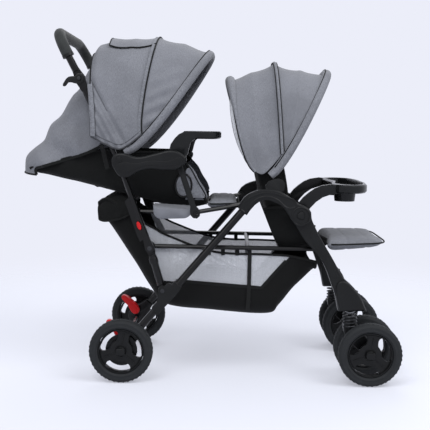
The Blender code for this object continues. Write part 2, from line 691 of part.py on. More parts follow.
def make_casters():
    for side_name, side in sides():
        y = side * CASTER_Y
        pivot("caster_" + side_name, CASTER_X, CASTER_TOP_Z, y=y, parent="front_legs")
        pivot("fork_" + side_name, CASTER_X, 0.160, y=y, parent="caster_" + side_name)
        head = post(CASTER_X, y, SPRING_LOW_Z + 0.014, CASTER_TOP_Z - FACE_GAP, 0.0100, 14)
        cap = post(CASTER_X, y, SPRING_HIGH_Z, CASTER_TOP_Z - FACE_GAP, 0.0215, 18)
        head = join(head, cap)
        head = cut(head, post(CASTER_X, y, 0.19, 0.255, 0.0066, 12))
        keep(head, "caster_head_" + side_name, "plastic", "caster_" + side_name)
        ax, az = FRONT_AXLE
        outline = [(CASTER_X - 0.015, 0.176), (CASTER_X + 0.015, 0.176), (ax - 0.014, az + 0.052),
                   (ax + 0.012, az + 0.018), (ax + 0.014, az - 0.012), (ax - 0.004, az - 0.017),
                   (ax - 0.024, az - 0.002), (CASTER_X - 0.012, 0.136), (CASTER_X - 0.018, 0.152)]
        fork = plate(outline, *span(side, CASTER_Y - 0.016, CASTER_Y + 0.016), edge=0.003)
        fork = join(fork, post(CASTER_X, y, 0.150, SPRING_LOW_Z - FACE_GAP, 0.0175, 18))
        fork = join(fork, post(CASTER_X, y, 0.140, 0.2300, 0.0060, 12))
        fork = cut(fork, rod(ax, az, *span(side, CASTER_Y - 0.06, CASTER_Y + 0.06), AXLE_R + FIT))
        keep(fork, "caster_fork_" + side_name, "plastic", "fork_" + side_name)
        keep(coil(CASTER_X, y, SPRING_LOW_Z, SPRING_HIGH_Z), "caster_spring_" + side_name,
             "steel", "fork_" + side_name)


def coil(x, y, low, high):
    """The suspension spring, a helix of round wire."""
    points = []
    per_turn = 8
    count = SPRING_TURNS * per_turn
    clear = SPRING_WIRE_R * 1.25
    for k in range(count + 1):
        angle = 2 * math.pi * k / per_turn
        z = low + clear + (high - low - 2 * clear) * k / count
        points.append((x + SPRING_R * math.cos(angle), y + SPRING_R * math.sin(angle), z))
    return as_mesh(tube(points, SPRING_WIRE_R, 1))


# Handle

def make_handle():
    hx, hz = HANDLE_HINGE
    foot = towards(HANDLE_HINGE, HANDLE_TOP, 0.024)
    w = HANDLE_HALF_WIDTH
    line = [lift(foot, -w), lift(HANDLE_TOP, -w), lift(HANDLE_TOP, w), lift(foot, w)]
    bar = as_mesh(tube(rounded(line, HANDLE_CORNER, 5), HANDLE_R, 3))
    for _, side in sides():
        lug = [(*offset_point(HANDLE_HINGE, HANDLE_TOP, 0.034, 0.009), "corner"),
               (*offset_point(HANDLE_HINGE, HANDLE_TOP, 0.034, -0.009), "corner"),
               (*offset_point(HANDLE_HINGE, HANDLE_TOP, 0.0, -0.0150), "corner"),
               (*offset_point(HANDLE_HINGE, HANDLE_TOP, -0.011, -0.011), "corner"),
               (*offset_point(HANDLE_HINGE, HANDLE_TOP, -0.0150, 0.0), "corner"),
               (*offset_point(HANDLE_HINGE, HANDLE_TOP, -0.011, 0.011), "corner"),
               (*offset_point(HANDLE_HINGE, HANDLE_TOP, 0.0, 0.0150), "corner")]
        bar = join(bar, plate(lug, *span(side, TUBE_INNER_Y, TUBE_Y - 0.0004), steps=1))
        bar = cut(bar, rod(hx, hz, *span(side, TUBE_INNER_Y - 0.01, TUBE_Y - 0.0001), PIN_R + FIT))
    keep(bar, "push_handle", "frame", "handle")
    grip_foot = towards(HANDLE_HINGE, HANDLE_TOP, 0.072)
    line = [lift(grip_foot, -w), lift(HANDLE_TOP, -w), lift(HANDLE_TOP, w), lift(grip_foot, w)]
    grip = as_mesh(tube(rounded(line, HANDLE_CORNER, 5), GRIP_R, 3))
    line = [lift(foot, -w), lift(HANDLE_TOP, -w), lift(HANDLE_TOP, w), lift(foot, w)]
    grip = cut(grip, as_mesh(tube(rounded(line, HANDLE_CORNER, 5), HANDLE_R + FACE_GAP, 3)))
    keep(grip, "handle_grip", "foam", "handle")
    for side_name, side in sides():
        outline = [(hx + 0.014, hz - 0.004), (hx + 0.006, hz + 0.014), (hx - 0.014, hz + 0.006),
                   (hx - 0.030, hz + 0.004), (hx - 0.042, hz - 0.010), (hx - 0.046, hz - 0.022),
                   (hx - 0.038, hz - 0.022), (hx - 0.030, hz - 0.012), (hx - 0.014, hz - 0.014),
                   (hx + 0.004, hz - 0.015)]
        inner = TUBE_OUTER_Y + 0.0004
        lever = plate(outline, *span(side, inner, inner + LEVER_THICK), edge=0.001)
        lever = cut(lever, rod(hx, hz, *span(side, TUBE_Y, TUBE_OUTER_Y + 0.03), PIN_R + FIT))
        keep(lever, "handle_lever_" + side_name, "plastic", "handle_levers")


# Rear armrests, struts and trays

def make_armrests():
    hx, hz = ARMREST_HINGE
    inner = ARMREST_INNER_Y
    for side_name, side in sides():
        outline = [(-0.271, 0.640), (-0.262, 0.656), (-0.240, 0.660), (-0.200, 0.650),
                   (-0.150, 0.660), (-0.102, 0.670), (-0.072, 0.660), (-0.060, 0.645),
                   (-0.078, 0.622), (-0.120, 0.615), (-0.165, 0.617), (-0.197, 0.608),
                   (-0.226, 0.592), (-0.246, 0.594), (-0.262, 0.612)]
        arm = plate(outline, *span(side, inner, inner + ARMREST_THICK), edge=0.005)
        boss = rod(hx, hz, *span(side, TUBE_Y + TUBE_R + FACE_GAP, inner + 0.004), 0.021, sides=24)
        tray_pin = rod(*REAR_TRAY_HINGE, *span(side, TRAY_ARM_Y - 0.008, inner + 0.004), PIN_R)
        keep(join(arm, boss, tray_pin), "rear_armrest_" + side_name, "plastic", "armrests")
    strut_top = (ARMREST_HINGE[0] + STRUT_FOOT[0] - RAIL_REAR[0],
                 ARMREST_HINGE[1] + STRUT_FOOT[1] - RAIL_REAR[1])
    for side_name, side in sides():
        outline = [offset_point(STRUT_FOOT, strut_top, -0.015, 0.0),
                   offset_point(STRUT_FOOT, strut_top, 0.0, 0.015),
                   offset_point(STRUT_FOOT, strut_top, 0.022, 0.008),
                   offset_point(strut_top, STRUT_FOOT, 0.0, -0.008),
                   offset_point(strut_top, STRUT_FOOT, -0.010, 0.0),
                   offset_point(strut_top, STRUT_FOOT, 0.0, 0.008),
                   offset_point(STRUT_FOOT, strut_top, 0.022, -0.008),
                   offset_point(STRUT_FOOT, strut_top, 0.0, -0.015)]
        strut = plate(outline, *span(side, STRUT_INNER_Y, STRUT_INNER_Y + STRUT_THICK))
        strut = cut(strut, rod(*STRUT_FOOT, *span(side, TUBE_Y, STRUT_INNER_Y + 0.02), PIN_R + FIT))
        keep(strut, "armrest_strut_" + side_name, "plastic", "struts")


def make_rear_tray():
    tx, tz = REAR_TRAY_HINGE
    half = TRAY_ARM_THICK / 2
    wide = TRAY_ARM_Y + half
    bar = slab([(-0.074, -wide, "corner"), (0.000, -wide, "corner"), (0.022, -wide * 0.91),
                (0.030, 0.0), (0.022, wide * 0.91), (0.000, wide, "corner"), (-0.074, wide, "corner"),
                (-0.078, 0.0)], 0.702, 0.724, edge=0.004)
    for _, side in sides():
        outline = [(tx - 0.020, tz - 0.010), (tx - 0.028, tz + 0.012), (tx - 0.012, tz + 0.048),
                   (tx + 0.014, tz + 0.067), (tx + 0.050, tz + 0.066, "corner"),
                   (tx + 0.050, tz + 0.050, "corner"), (tx + 0.034, tz + 0.036),
                   (tx + 0.026, tz + 0.006), (tx + 0.012, tz - 0.014)]
        arm = plate(outline, *span(side, TRAY_ARM_Y - half, TRAY_ARM_Y + half))
        bar = join(bar, arm)
    for _, side in sides():
        bar = cut(bar, rod(tx, tz, *span(side, TRAY_ARM_Y - 0.02, TRAY_ARM_Y + 0.02), PIN_R + FIT))
    keep(bar, "rear_tray", "plastic", "rear_tray")


def make_front_tray():
    """The play tray: a dished table with two cup wells on a pair of arms."""
    jx, jz = FRONT_JOINT
    half = FRONT_TRAY_ARM_Y + 0.025
    cup = half - 0.084
    table = slab([(0.368, -half + 0.054), (0.378, -half + 0.008), (0.416, -half), (0.448, -half + 0.018),
                  (0.469, -half + 0.074), (0.475, 0.0), (0.469, half - 0.074), (0.448, half - 0.018),
                  (0.416, half), (0.378, half - 0.008), (0.368, half - 0.054), (0.380, 0.0)],
                 TRAY_TOP_Z - 0.025, TRAY_TOP_Z, edge=0.004)
    for _, side in sides():
        outline = [(jx - 0.010, jz - 0.012), (jx - 0.014, jz + 0.008), (jx - 0.004, jz + 0.032),
                   (jx + 0.024, jz + 0.062), (jx + 0.062, jz + 0.084), (jx + 0.120, jz + 0.086),
                   (jx + 0.146, jz + 0.076), (jx + 0.146, jz + 0.066), (jx + 0.112, jz + 0.062),
                   (jx + 0.066, jz + 0.050), (jx + 0.030, jz + 0.018), (jx + 0.014, jz - 0.006),
                   (jx + 0.002, jz - 0.016)]
        arm = plate(outline, *span(side, FRONT_TRAY_ARM_Y - 0.0125, FRONT_TRAY_ARM_Y))
        table = join(table, arm)
    for _, side in sides():
        table = join(table, post(0.405, side * cup, TRAY_TOP_Z - 0.052, TRAY_TOP_Z - 0.016, 0.030, 16,
                                 0.034))
    dish = slab([(0.388, -half + 0.039), (0.424, -half + 0.018), (0.459, -half + 0.084), (0.464, 0.0),
                 (0.459, half - 0.084), (0.424, half - 0.018), (0.388, half - 0.039), (0.393, 0.0)],
                TRAY_TOP_Z - 0.018, TRAY_TOP_Z + 0.014)
    table = cut(table, dish)
    for _, side in sides():
        table = cut(table, post(0.405, side * cup, TRAY_TOP_Z - 0.048, TRAY_TOP_Z + 0.004, 0.026, 16,
                                0.031))
        table = cut(table, rod(jx, jz, *span(side, FRONT_TRAY_ARM_Y - 0.03, FRONT_TRAY_ARM_Y + 0.02),
                               PIN_R + 0.001 + FIT))
    keep(table, "front_tray", "plastic", "front_tray")


# Soft goods

def make_seats():
    w = REAR_SEAT_HALF
    hinge = REAR_RECLINE[0]
    rows = [bow(a, b, w, 10, 6.0) for a, b in (
        ((hinge + SEAM / 2, 0.661), (hinge + SEAM / 2, 0.504)), ((-0.100, 0.658), (-0.100, 0.499)),
        ((-0.066, 0.634), (-0.070, 0.496)), ((-0.036, 0.580), (-0.040, 0.498)),
        ((REAR_LEG_REST_HINGE[0] - SEAM, 0.522), (REAR_LEG_REST_HINGE[0] - SEAM, 0.507)))]
    keep(sheet(rows, CLOTH), "rear_seat", "black_cloth", "rear_seat_frame")
    rows = [bow(a, b, c, 10, 6.0) for a, b, c in (
        ((-0.524, 0.610), (-0.522, 0.600), w - 0.012), ((-0.480, 0.622), (-0.484, 0.590), w - 0.006),
        ((-0.400, 0.645), (-0.400, 0.571), w), ((-0.319, 0.665), (-0.319, 0.551), w),
        ((-0.200, 0.662), (-0.198, 0.522), w), ((hinge - SEAM / 2, 0.661), (hinge - SEAM / 2, 0.505), w))]
    keep(sheet(rows, CLOTH), "rear_backrest", "black_cloth", "rear_backrest")
    w = FRONT_SEAT_HALF
    edge = FRONT_LEG_REST_HINGE[0] - SEAM
    edge_z = FRONT_LEG_REST_HINGE[1] + LEG_REST_THICK * 0.6
    rows = [bow(a, b, w, 10, 6.0) for a, b in (
        ((0.150, 0.500), (0.150, 0.388)), ((0.200, 0.505), (0.200, 0.376)),
        ((0.262, 0.491), (0.262, 0.377)), ((0.310, 0.438), (0.310, 0.383)),
        ((edge, 0.414), (edge, edge_z)))]
    keep(sheet(rows, CLOTH), "front_seat", "black_cloth")
    bx, bz = FRONT_RECLINE
    w = FRONT_SEAT_HALF - 2.6 * CLOTH
    rows = [bow(a, b, c, 10, 6.0) for a, b, c in (
        ((bx + 0.030, bz + 0.004), (bx - 0.014, bz - 0.001), w),
        ((bx + 0.064, bz + 0.090), (bx - 0.026, bz + 0.110), w),
        ((bx + 0.044, bz + 0.220), (bx - 0.060, bz + 0.230), w),
        ((bx + 0.002, bz + 0.350), (bx - 0.080, bz + 0.350), w - 0.014))]
    keep(sheet(rows, CLOTH), "front_backrest", "black_cloth", "front_backrest")
    leg_rest("rear_leg_rest", REAR_LEG_REST_HINGE, 0.094, REAR_SEAT_HALF - 0.010, 0.008)
    leg_rest("front_leg_rest", FRONT_LEG_REST_HINGE, 0.183, FRONT_SEAT_HALF - 0.003, 0.016)


def leg_rest(name, hinge, reach, width, taper):
    """A padded board that hangs on its lower rear edge and gets thinner towards its front."""
    x, z = hinge
    outline = [(x, -width, "corner"), (x + reach * 0.70, -width), (x + reach * 0.94, -width * 0.72),
               (x + reach, 0.0), (x + reach * 0.94, width * 0.72), (x + reach * 0.70, width),
               (x, width, "corner")]
    pad = slab(outline, z, z + LEG_REST_THICK, edge=0.005)
    wedge = plate([(x + reach * 0.1, z, "corner"), (x + reach * 1.1, z + taper * 1.1, "corner"),
                   (x + reach * 1.1, z - 0.02, "corner"), (x + reach * 0.1, z - 0.02, "corner")],
                  -width * 1.1, width * 1.1, steps=1)
    keep(cut(pad, wedge), name, "grey_cloth", name)


def make_basket():
    w = LOWER_RAIL_Y - RAIL_R - CLOTH / 2 - FIT
    rows = [bow(a, b, c, 10, 6.0) for a, b, c in (
        ((-0.322, 0.512), (-0.316, 0.466), w - 0.012), ((-0.290, 0.522), (-0.296, 0.448), w - 0.004),
        ((-0.215, 0.470), (-0.224, 0.340), w), ((-0.160, 0.440), (-0.170, 0.252), w),
        ((-0.110, 0.415), (-0.122, 0.200), w), ((0.020, 0.372), (0.020, 0.186), w),
        ((0.176, 0.366), (0.180, 0.178), w), ((0.226, 0.364), (0.216, 0.204), w),
        ((0.268, 0.358), (0.268, 0.270), w), ((0.322, 0.346), (0.320, 0.322), w - 0.004))]
    keep(sheet(rows, CLOTH), "storage_basket", "black_cloth")


def make_canopies():
    w = REAR_CANOPY_HALF
    back = [((-0.334, 0.697), (-0.338, 0.958), w - 0.004), ((-0.300, 0.682), (-0.300, 0.992), w),
            ((-0.256, 0.668), (-0.225, 1.003), w), ((-0.215, 0.696), (-0.150, 1.002), w)]
    canopy(back, "rear_canopy_back", "uprights")
    front = [((-0.215 + SEAM, 0.696), (-0.150 + SEAM, 1.002), w), ((-0.190, 0.710), (-0.070, 0.986), w),
             ((-0.174, 0.722), (-0.010, 0.964), w)]
    hem = ((-0.238, 0.641), (-0.001, 0.953), w)
    canopy(front, "rear_canopy_front", "rear_canopy_front", hem)
    hood = [((-0.334 - SEAM, 0.697), (-0.338 - SEAM, 0.958), w - 0.004),
            ((-0.392, 0.670), (-0.402, 0.850), w - 0.006),
            ((-0.455, 0.644), (-0.494, 0.738), w - 0.010, 12, 2.4),
            ((-0.492, 0.630), (-0.522, 0.668), w - 0.020, 12, 2.1),
            ((-0.508, 0.624), (0.0005 - HALF_LENGTH, 0.639), w - 0.034, 12, 2.0)]
    canopy(hood, "tail_hood", "uprights")
    v = FRONT_CANOPY_HALF
    back = [((0.164, 0.606), (0.058, 0.870), v), ((0.176, 0.610), (0.110, 0.900), v),
            ((0.190, 0.614), (0.188, 0.930), v)]
    canopy(back, "front_canopy_back")
    front = [((0.190 + SEAM, 0.614), (0.188 + SEAM, 0.930), v), ((0.214, 0.626), (0.270, 0.915), v),
             ((0.222, 0.640), (0.338, 0.893), v)]
    hem = ((0.204, 0.590), (0.350, 0.895), v)
    canopy(front, "front_canopy_front", "front_canopy_front", hem)


def canopy(hoops, name, on=None, hem=None):
    """A cloth panel over hoops given as (foot, crown, half width), with a padded hem or none."""
    panel = sheet([bow(*hoop) for hoop in hoops], CLOTH)
    if hem:
        panel = join(as_mesh(panel), as_mesh(tube(bow(*hem, 18), HEM_R, 1)))
    keep(panel, name, "grey_cloth", on)


def make_pivots():
    pivot("lower_links", *LINK_FOOT)
    pivot("uprights", *KNEE, parent="lower_links")
    pivot("lower_rails", *KNEE, parent="lower_links")
    pivot("armrests", *ARMREST_HINGE, parent="uprights")
    pivot("rear_tray", *REAR_TRAY_HINGE, parent="armrests")
    pivot("handle", *HANDLE_HINGE, parent="uprights")
    pivot("handle_levers", *HANDLE_HINGE, parent="uprights")
    pivot("rear_seat_frame", *RAIL_FRONT)
    pivot("struts", *STRUT_FOOT, parent="rear_seat_frame")
    pivot("rear_backrest", *REAR_RECLINE, parent="rear_seat_frame")
    pivot("rear_leg_rest", *REAR_LEG_REST_HINGE, parent="rear_seat_frame")
    pivot("rear_canopy_front", *REAR_CANOPY_HINGE, parent="uprights")
    pivot("front_legs", *FRONT_JOINT)
    pivot("front_tray", *FRONT_JOINT)
    pivot("front_backrest", *FRONT_RECLINE)
    pivot("front_leg_rest", *FRONT_LEG_REST_HINGE)
    pivot("front_canopy_front", *FRONT_CANOPY_HINGE)


def build():
    make_pivots()
    make_rear_legs()
    make_brakes()
    make_brackets()
    make_arches()
    make_lower_links()
    make_uprights()
    make_rails()
    make_front_legs()
    make_casters()
    make_wheels()
    make_handle()
    make_armrests()
    make_rear_tray()
    make_front_tray()
    make_seats()
    make_basket()
    make_canopies()


build()
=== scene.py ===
"""Looks of a tandem double stroller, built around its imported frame.

Units are metres: +X is the way the children face, +Y is the stroller's left, +Z is up.
"""
import math

import bmesh
import bpy
from mathutils import Matrix, Vector, noise


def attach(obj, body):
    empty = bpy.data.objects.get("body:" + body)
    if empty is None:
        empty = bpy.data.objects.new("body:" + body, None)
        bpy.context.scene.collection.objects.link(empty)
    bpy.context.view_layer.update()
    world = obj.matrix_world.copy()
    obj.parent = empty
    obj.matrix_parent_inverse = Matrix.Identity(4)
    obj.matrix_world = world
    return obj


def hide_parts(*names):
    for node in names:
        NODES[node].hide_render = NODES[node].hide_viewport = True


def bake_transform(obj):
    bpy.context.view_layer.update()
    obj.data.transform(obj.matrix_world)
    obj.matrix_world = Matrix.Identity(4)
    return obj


bl_info = {
    "name": "Tandem stroller looks",
    "version": (1, 0, 0),
    "blender": (4, 5, 0),
    "location": "3D View > Sidebar > Stroller",
    "description": "Builds the fabric, wheels, mouldings and stage of a tandem stroller on its frame",
    "category": "Object",
}

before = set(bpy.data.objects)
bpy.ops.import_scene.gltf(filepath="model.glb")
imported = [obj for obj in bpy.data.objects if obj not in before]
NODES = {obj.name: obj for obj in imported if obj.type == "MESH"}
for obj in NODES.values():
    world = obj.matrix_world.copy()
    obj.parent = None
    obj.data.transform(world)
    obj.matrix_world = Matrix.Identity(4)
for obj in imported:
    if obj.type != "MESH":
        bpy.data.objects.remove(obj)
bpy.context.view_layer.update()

SIDES = (("left", 1.0), ("right", -1.0))
X, Y = 0, 1             # axes across which a pad's seams are pressed in
CLOTH = 0.0016          # thickness of a canopy's cloth
SHELL = 0.0022          # thickness of a seat shell's cloth
TUBE_Y = 0.212          # middle of the frame's side tubes
WHEEL_Y, INNER_WHEEL_Y, BRAKE_Y = 0.250, 0.140, 0.2405

# Joints and hoops of the frame, as (x, z) in side view
KNEE = (-0.165, 0.387)
LINK_FOOT = (-0.127, 0.264)
ARMREST_HINGE = (-0.250, 0.628)
HANDLE_HINGE = (-0.366, 0.868)
HANDLE_TOP = (-0.434, 0.999)
STRUT_FOOT = (-0.034, 0.490)
FRONT_JOINT = (0.268, 0.488)
ARCH_FOOT = (0.100, 0.497)
REAR_AXLE = (-0.243, 0.0925)
FRONT_AXLE = (0.473, 0.0925)
CASTER_X, CASTER_Y = 0.420, 0.195
ARMREST_PIN = (-0.085, 0.655)


# Shader values

class Wire:
    """A value or vector in a finish; arithmetic on values adds Math nodes."""

    def __init__(self, finish, socket):
        self.finish = finish
        self.socket = socket

    def _maths(self, operation, *terms):
        return self.finish.add("Math", {"operation": operation}, dict(enumerate(terms)))

    def __add__(self, other):
        return self._maths("ADD", self, other)

    __radd__ = __add__

    def __sub__(self, other):
        return self._maths("SUBTRACT", self, other)

    def __rsub__(self, other):
        return self._maths("SUBTRACT", other, self)

    def __mul__(self, other):
        return self._maths("MULTIPLY", self, other)

    __rmul__ = __mul__

    def __gt__(self, other):
        return self._maths("GREATER_THAN", self, other)

    def wave(self, length):
        """A wave between 0 and 1 that repeats after a length."""
        return self._maths("SINE", self * (2 * math.pi / length)) * 0.5 + 0.5

    def sine(self):
        return self._maths("SINE", self)

    def size(self):
        return self._maths("ABSOLUTE", self)

    def lowest(self, other):
        return self._maths("MINIMUM", self, other)

    def highest(self, other):
        return self._maths("MAXIMUM", self, other)

    def ramp(self, start, end):
        """0 before start, 1 after end, smooth between."""
        return self.finish.add("MapRange", {"interpolation_type": "SMOOTHSTEP"},
                               {0: self, 1: start, 2: end, 3: 0.0, 4: 1.0})

    def part(self, index):
        """One of a vector's three numbers."""
        return self.finish.add("SeparateXYZ", {}, {0: self}, out=index)


class Finish:
    """A material whose colour, roughness and relief come from its nodes."""

    def __init__(self, name, rough=0.5, metallic=0.0, **fixed):
        self.material = bpy.data.materials.new(name)
        self.material.use_nodes = True
        self.tree = self.material.node_tree
        self.shader = self.tree.nodes["Principled BSDF"]
        self.shader.inputs["Roughness"].default_value = rough
        self.shader.inputs["Metallic"].default_value = metallic
        for socket, value in fixed.items():
            self.shader.inputs[socket.replace("_", " ")].default_value = value
        FINISHES[name] = self

    def add(self, kind, settings, inputs, out=0):
        """Adds a node of a type with its settings, then its input values or links."""
        node = self.tree.nodes.new("ShaderNode" + kind)
        for key, value in settings.items():
            setattr(node, key, value)
        for key, value in inputs.items():
            socket = node.inputs[key]
            if isinstance(value, Wire):
                self.tree.links.new(value.socket, socket)
            else:
                socket.default_value = (*value, 1.0) if socket.type == "RGBA" else value
        return Wire(self, node.outputs[out])

    def place(self):
        return self.add("TexCoord", {}, {}, out=3)

    def along_cloth(self):
        """Metres across and along a cloth, from its own map."""
        return self.add("UVMap", {"uv_map": "cloth"}, {})

    def stretched(self, vector, scale):
        return self.add("Mapping", {}, {"Vector": vector, "Scale": scale})

    def grain(self, vector, scale, detail=2.0, rough=0.5, warp=0.0):
        return self.add("TexNoise", {}, {"Vector": vector, "Scale": scale, "Detail": detail,
                                         "Roughness": rough, "Distortion": warp})

    def cells(self, vector, scale):
        return self.add("TexVoronoi", {}, {"Vector": vector, "Scale": scale})

    def blend(self, share, first, second):
        return self.add("Mix", {"data_type": "RGBA"}, {0: share, 6: first, 7: second}, out=2)

    def feed(self, **sockets):
        for name, wire in sockets.items():
            self.tree.links.new(wire.socket, self.shader.inputs[name.replace("_", " ")])

    def relief(self, height, distance, strength=1.0):
        return self.add("Bump", {}, {"Height": height, "Distance": distance, "Strength": strength})


def tone(red, green, blue):
    """A colour as it is seen, 0 to 255, turned into the numbers that a shader mixes."""
    return tuple(((c / 255 + 0.055) / 1.055) ** 2.4 if c > 10 else c / 255 / 12.92
                 for c in (red, green, blue))


def shade(colour, factor):
    return tuple(min(c * factor, 1.0) for c in colour)


FINISHES = {}
SLOTS = {"plastic": ("plastic", "rim_plastic", "gloss_plastic", "gloss_piping"), "frame": ("tube",),
         "steel": ("steel", "steel_dark"), "red": ("red",), "tyre": ("tyre",), "foam": ("foam",),
         "black_cloth": ("black_cloth", "liner_cloth", "painted_shade_lining", "piping_cloth", "webbing",
                         "basket_cloth"),
         "grey_cloth": ("grey_cloth", "grey_cloth_plain", "seam_thread", "clear_vinyl")}


def moulded_plastic(name, colour, rough=0.46, grain=900.0):
    """Injection-moulded plastic: fine spark-erosion grain, faint flow variation and rubbed patches."""
    f = Finish(name, rough=rough, IOR=1.46, Specular_IOR_Level=0.22)
    where = f.place()
    fine = f.grain(where, grain, 3.0)
    broad = f.grain(where, 14.0, 3.0)
    rubbed = f.grain(where, 46.0, 4.0, 0.62).ramp(0.58, 0.75)
    base = f.blend(broad.ramp(0.35, 0.68), shade(colour, 0.86), shade(colour, 1.14))
    f.feed(Base_Color=f.blend(rubbed * 0.35, base, shade(colour, 1.5)),
           Roughness=broad * 0.14 + (rough - 0.09) - rubbed * 0.05,
           Normal=f.relief(fine + f.cells(where, grain * 0.8) * 0.4, 0.00011, 0.55))


def coated_tube(name, colour):
    """Powder-coated steel tube: a slight orange peel under a soft gloss."""
    f = Finish(name, rough=0.3, IOR=1.5, Coat_Roughness=0.22, Specular_IOR_Level=0.15)
    where = f.place()
    peel = f.grain(where, 420.0, 2.0)
    scuffs = f.grain(f.stretched(where, (90.0, 90.0, 20.0)), 3.0, 5.0, 0.7).ramp(0.62, 0.78)
    broad = f.grain(where, 11.0, 2.0)
    f.feed(Base_Color=f.blend(scuffs * 0.3 + broad * 0.2, shade(colour, 0.9), shade(colour, 1.7)),
           Roughness=broad * 0.10 + scuffs * 0.12 + 0.25,
           Coat_Weight=0.22 - scuffs * 0.15,
           Normal=f.relief(peel, 0.00006, 0.5))


def bare_steel(name, colour, rough=0.28):
    """Steel with brushed lines across and dull patches."""
    f = Finish(name, rough=rough, metallic=1.0)
    where = f.place()
    brushed = f.grain(f.stretched(where, (40.0, 600.0, 40.0)), 8.0, 4.0)
    dull = f.grain(where, 60.0, 3.0).ramp(0.45, 0.75)
    f.feed(Base_Color=f.blend(dull * 0.6, colour, shade(colour, 0.55)),
           Roughness=dull * 0.2 + brushed * 0.12 + (rough - 0.08),
           Normal=f.relief(brushed, 0.00004, 0.5))


def tyre_rubber(name, colour):
    """Foamed rubber: matt, dusty on the tread, with a fine open skin."""
    f = Finish(name, rough=0.78, Specular_IOR_Level=0.25)
    where = f.place()
    skin = f.grain(where, 700.0, 3.0)
    dust = f.grain(where, 55.0, 5.0, 0.65).ramp(0.45, 0.8)
    f.feed(Base_Color=f.blend(dust * 0.55, colour, shade(colour, 1.9)),
           Roughness=dust * 0.12 + 0.72,
           Normal=f.relief(skin + f.cells(where, 480.0) * 0.6, 0.00018, 0.6))


def foam_grip(name, colour):
    """Closed-cell foam on the handle: fine pores and a dull skin."""
    f = Finish(name, rough=0.74, Sheen_Weight=0.08, Specular_IOR_Level=0.3)
    where = f.place()
    pores = f.cells(where, 950.0)
    broad = f.grain(where, 26.0, 4.0, 0.6)
    f.feed(Base_Color=f.blend(broad.ramp(0.35, 0.7), shade(colour, 0.8), shade(colour, 1.25)),
           Roughness=broad * 0.1 + 0.68,
           Normal=f.relief(pores + f.grain(where, 160.0, 2.0) * 0.5, 0.00022, 0.7))


def weave_height(f, across, along, thread):
    """A plain weave: warp and weft threads that pass over each other in turn."""
    warp = across.wave(thread * 2)
    weft = along.wave(thread * 2)
    over = (across * (math.pi / thread)).sine() * (along * (math.pi / thread)).sine()
    return warp.highest(weft) * 0.6 + over * 0.4


def woven(name, colour, pale, thread=0.0009, on_map=True, sheen=0.10, specular=0.3):
    """Woven polyester: plain weave with painted shade between its threads, heathered yarn, soft patches and a
    light fuzz.
    """
    f = Finish(name, rough=0.86, Sheen_Weight=sheen, Sheen_Roughness=0.5, Specular_IOR_Level=specular)
    if on_map:
        where = f.along_cloth()
        across, along = where.part(0), where.part(1)
    else:
        where = f.place()
        across, along = where.part(0) + where.part(2) * 0.7, where.part(1) + where.part(2) * 0.7
    weave = weave_height(f, across, along, thread)
    yarn = f.grain(f.stretched(where, (1.0, 9.0, 1.0)), 260.0, 3.0, 0.6)
    slub = f.grain(f.stretched(where, (9.0, 1.0, 9.0)), 220.0, 3.0, 0.6)
    streak = f.grain(f.stretched(where, (1.0, 5.0, 1.0)), 130.0, 4.0, 0.7)
    melange = (yarn * 0.35 + slub * 0.25 + streak * 0.4).ramp(0.36, 0.64)
    broad = f.grain(f.place(), 9.0, 3.0)
    base = f.blend(melange * 0.75, colour, pale)
    # Painted shade between the threads, where the weave is low, with random darker patches over it.
    weave_shade_and_patches = f.blend(weave.ramp(0.55, 0.15) * 0.35 + broad.ramp(0.62, 0.36) * 0.22, base,
                       shade(colour, 0.62))
    f.feed(Base_Color=weave_shade_and_patches, Roughness=broad * 0.1 + 0.81,
           Normal=f.relief(weave + melange * 0.3, 0.00028, 0.7))


def webbing(name, colour):
    """Ribbed strap webbing: fine ribs across and fine cords along it."""
    f = Finish(name, rough=0.8, Sheen_Weight=0.05, Specular_IOR_Level=0.25)
    where = f.along_cloth()
    ribs = where.part(1).wave(0.0016)
    cords = where.part(0).wave(0.0024)
    fuzz = f.grain(f.place(), 420.0, 3.0)
    # Painted shade and highlight: the ribs are lighter on their tops and darker in their grooves; the fuzz is
    # random tone.
    f.feed(Base_Color=f.blend(ribs * 0.5 + fuzz * 0.3, shade(colour, 0.75), shade(colour, 1.5)),
           Roughness=fuzz * 0.12 + 0.74,
           Normal=f.relief(ribs * 0.8 + cords * 0.3, 0.0003, 0.8))


def basket_cloth(name, black, mesh_colour):
    """The basket: solid black cloth below and at its ends, open hexagonal mesh in the side windows."""
    f = Finish(name, rough=0.85, Sheen_Weight=0.04, Specular_IOR_Level=0.2)
    where = f.place()
    x, y, z = where.part(0), where.part(1), where.part(2)
    line = (x * -0.067 + 0.274).highest(x * 1.14 + 0.084)
    back = z * -0.42 - 0.008
    window = (z > line) * (x > back) * (y.size() > 0.13)
    thread_a = (x * (2 * math.pi / 0.0042)).sine().size()
    thread_b = ((z + x * 0.5) * (2 * math.pi / 0.0042)).sine().size()
    knit = thread_a.lowest(thread_b)
    open_hole = (knit > 0.50) * window
    fine = f.grain(where, 620.0, 3.0)
    broad = f.grain(where, 12.0, 3.0)
    cloth = f.blend(fine * 0.4 + broad * 0.3, shade(black, 0.7), shade(black, 1.6))
    mesh = f.blend(fine * 0.5 + broad * 0.4, mesh_colour, shade(mesh_colour, 0.72))
    f.feed(Base_Color=f.blend(window, cloth, mesh), Alpha=1.0 - open_hole * 0.8,
           Roughness=broad * 0.1 + 0.8,
           Normal=f.relief((x.wave(0.0018) * z.wave(0.0018)) + fine * 0.6, 0.0003, 0.6))


def clear_vinyl(name):
    """The milky window behind the front canopy."""
    f = Finish(name, rough=0.22)
    where = f.place()
    creases = f.grain(where, 34.0, 4.0, 0.6, 0.6)
    f.feed(Base_Color=f.blend(creases, tone(205, 208, 216), tone(232, 234, 240)),
           Alpha=creases * 0.2 + 0.42, Roughness=creases * 0.2 + 0.15,
           Normal=f.relief(creases, 0.002, 0.5))


# Shapes

def mesh_of(name, bm):
    """A mesh in the shape of a bmesh; the bmesh goes."""
    mesh = bpy.data.meshes.new(name)
    bm.to_mesh(mesh)
    bm.free()
    return mesh


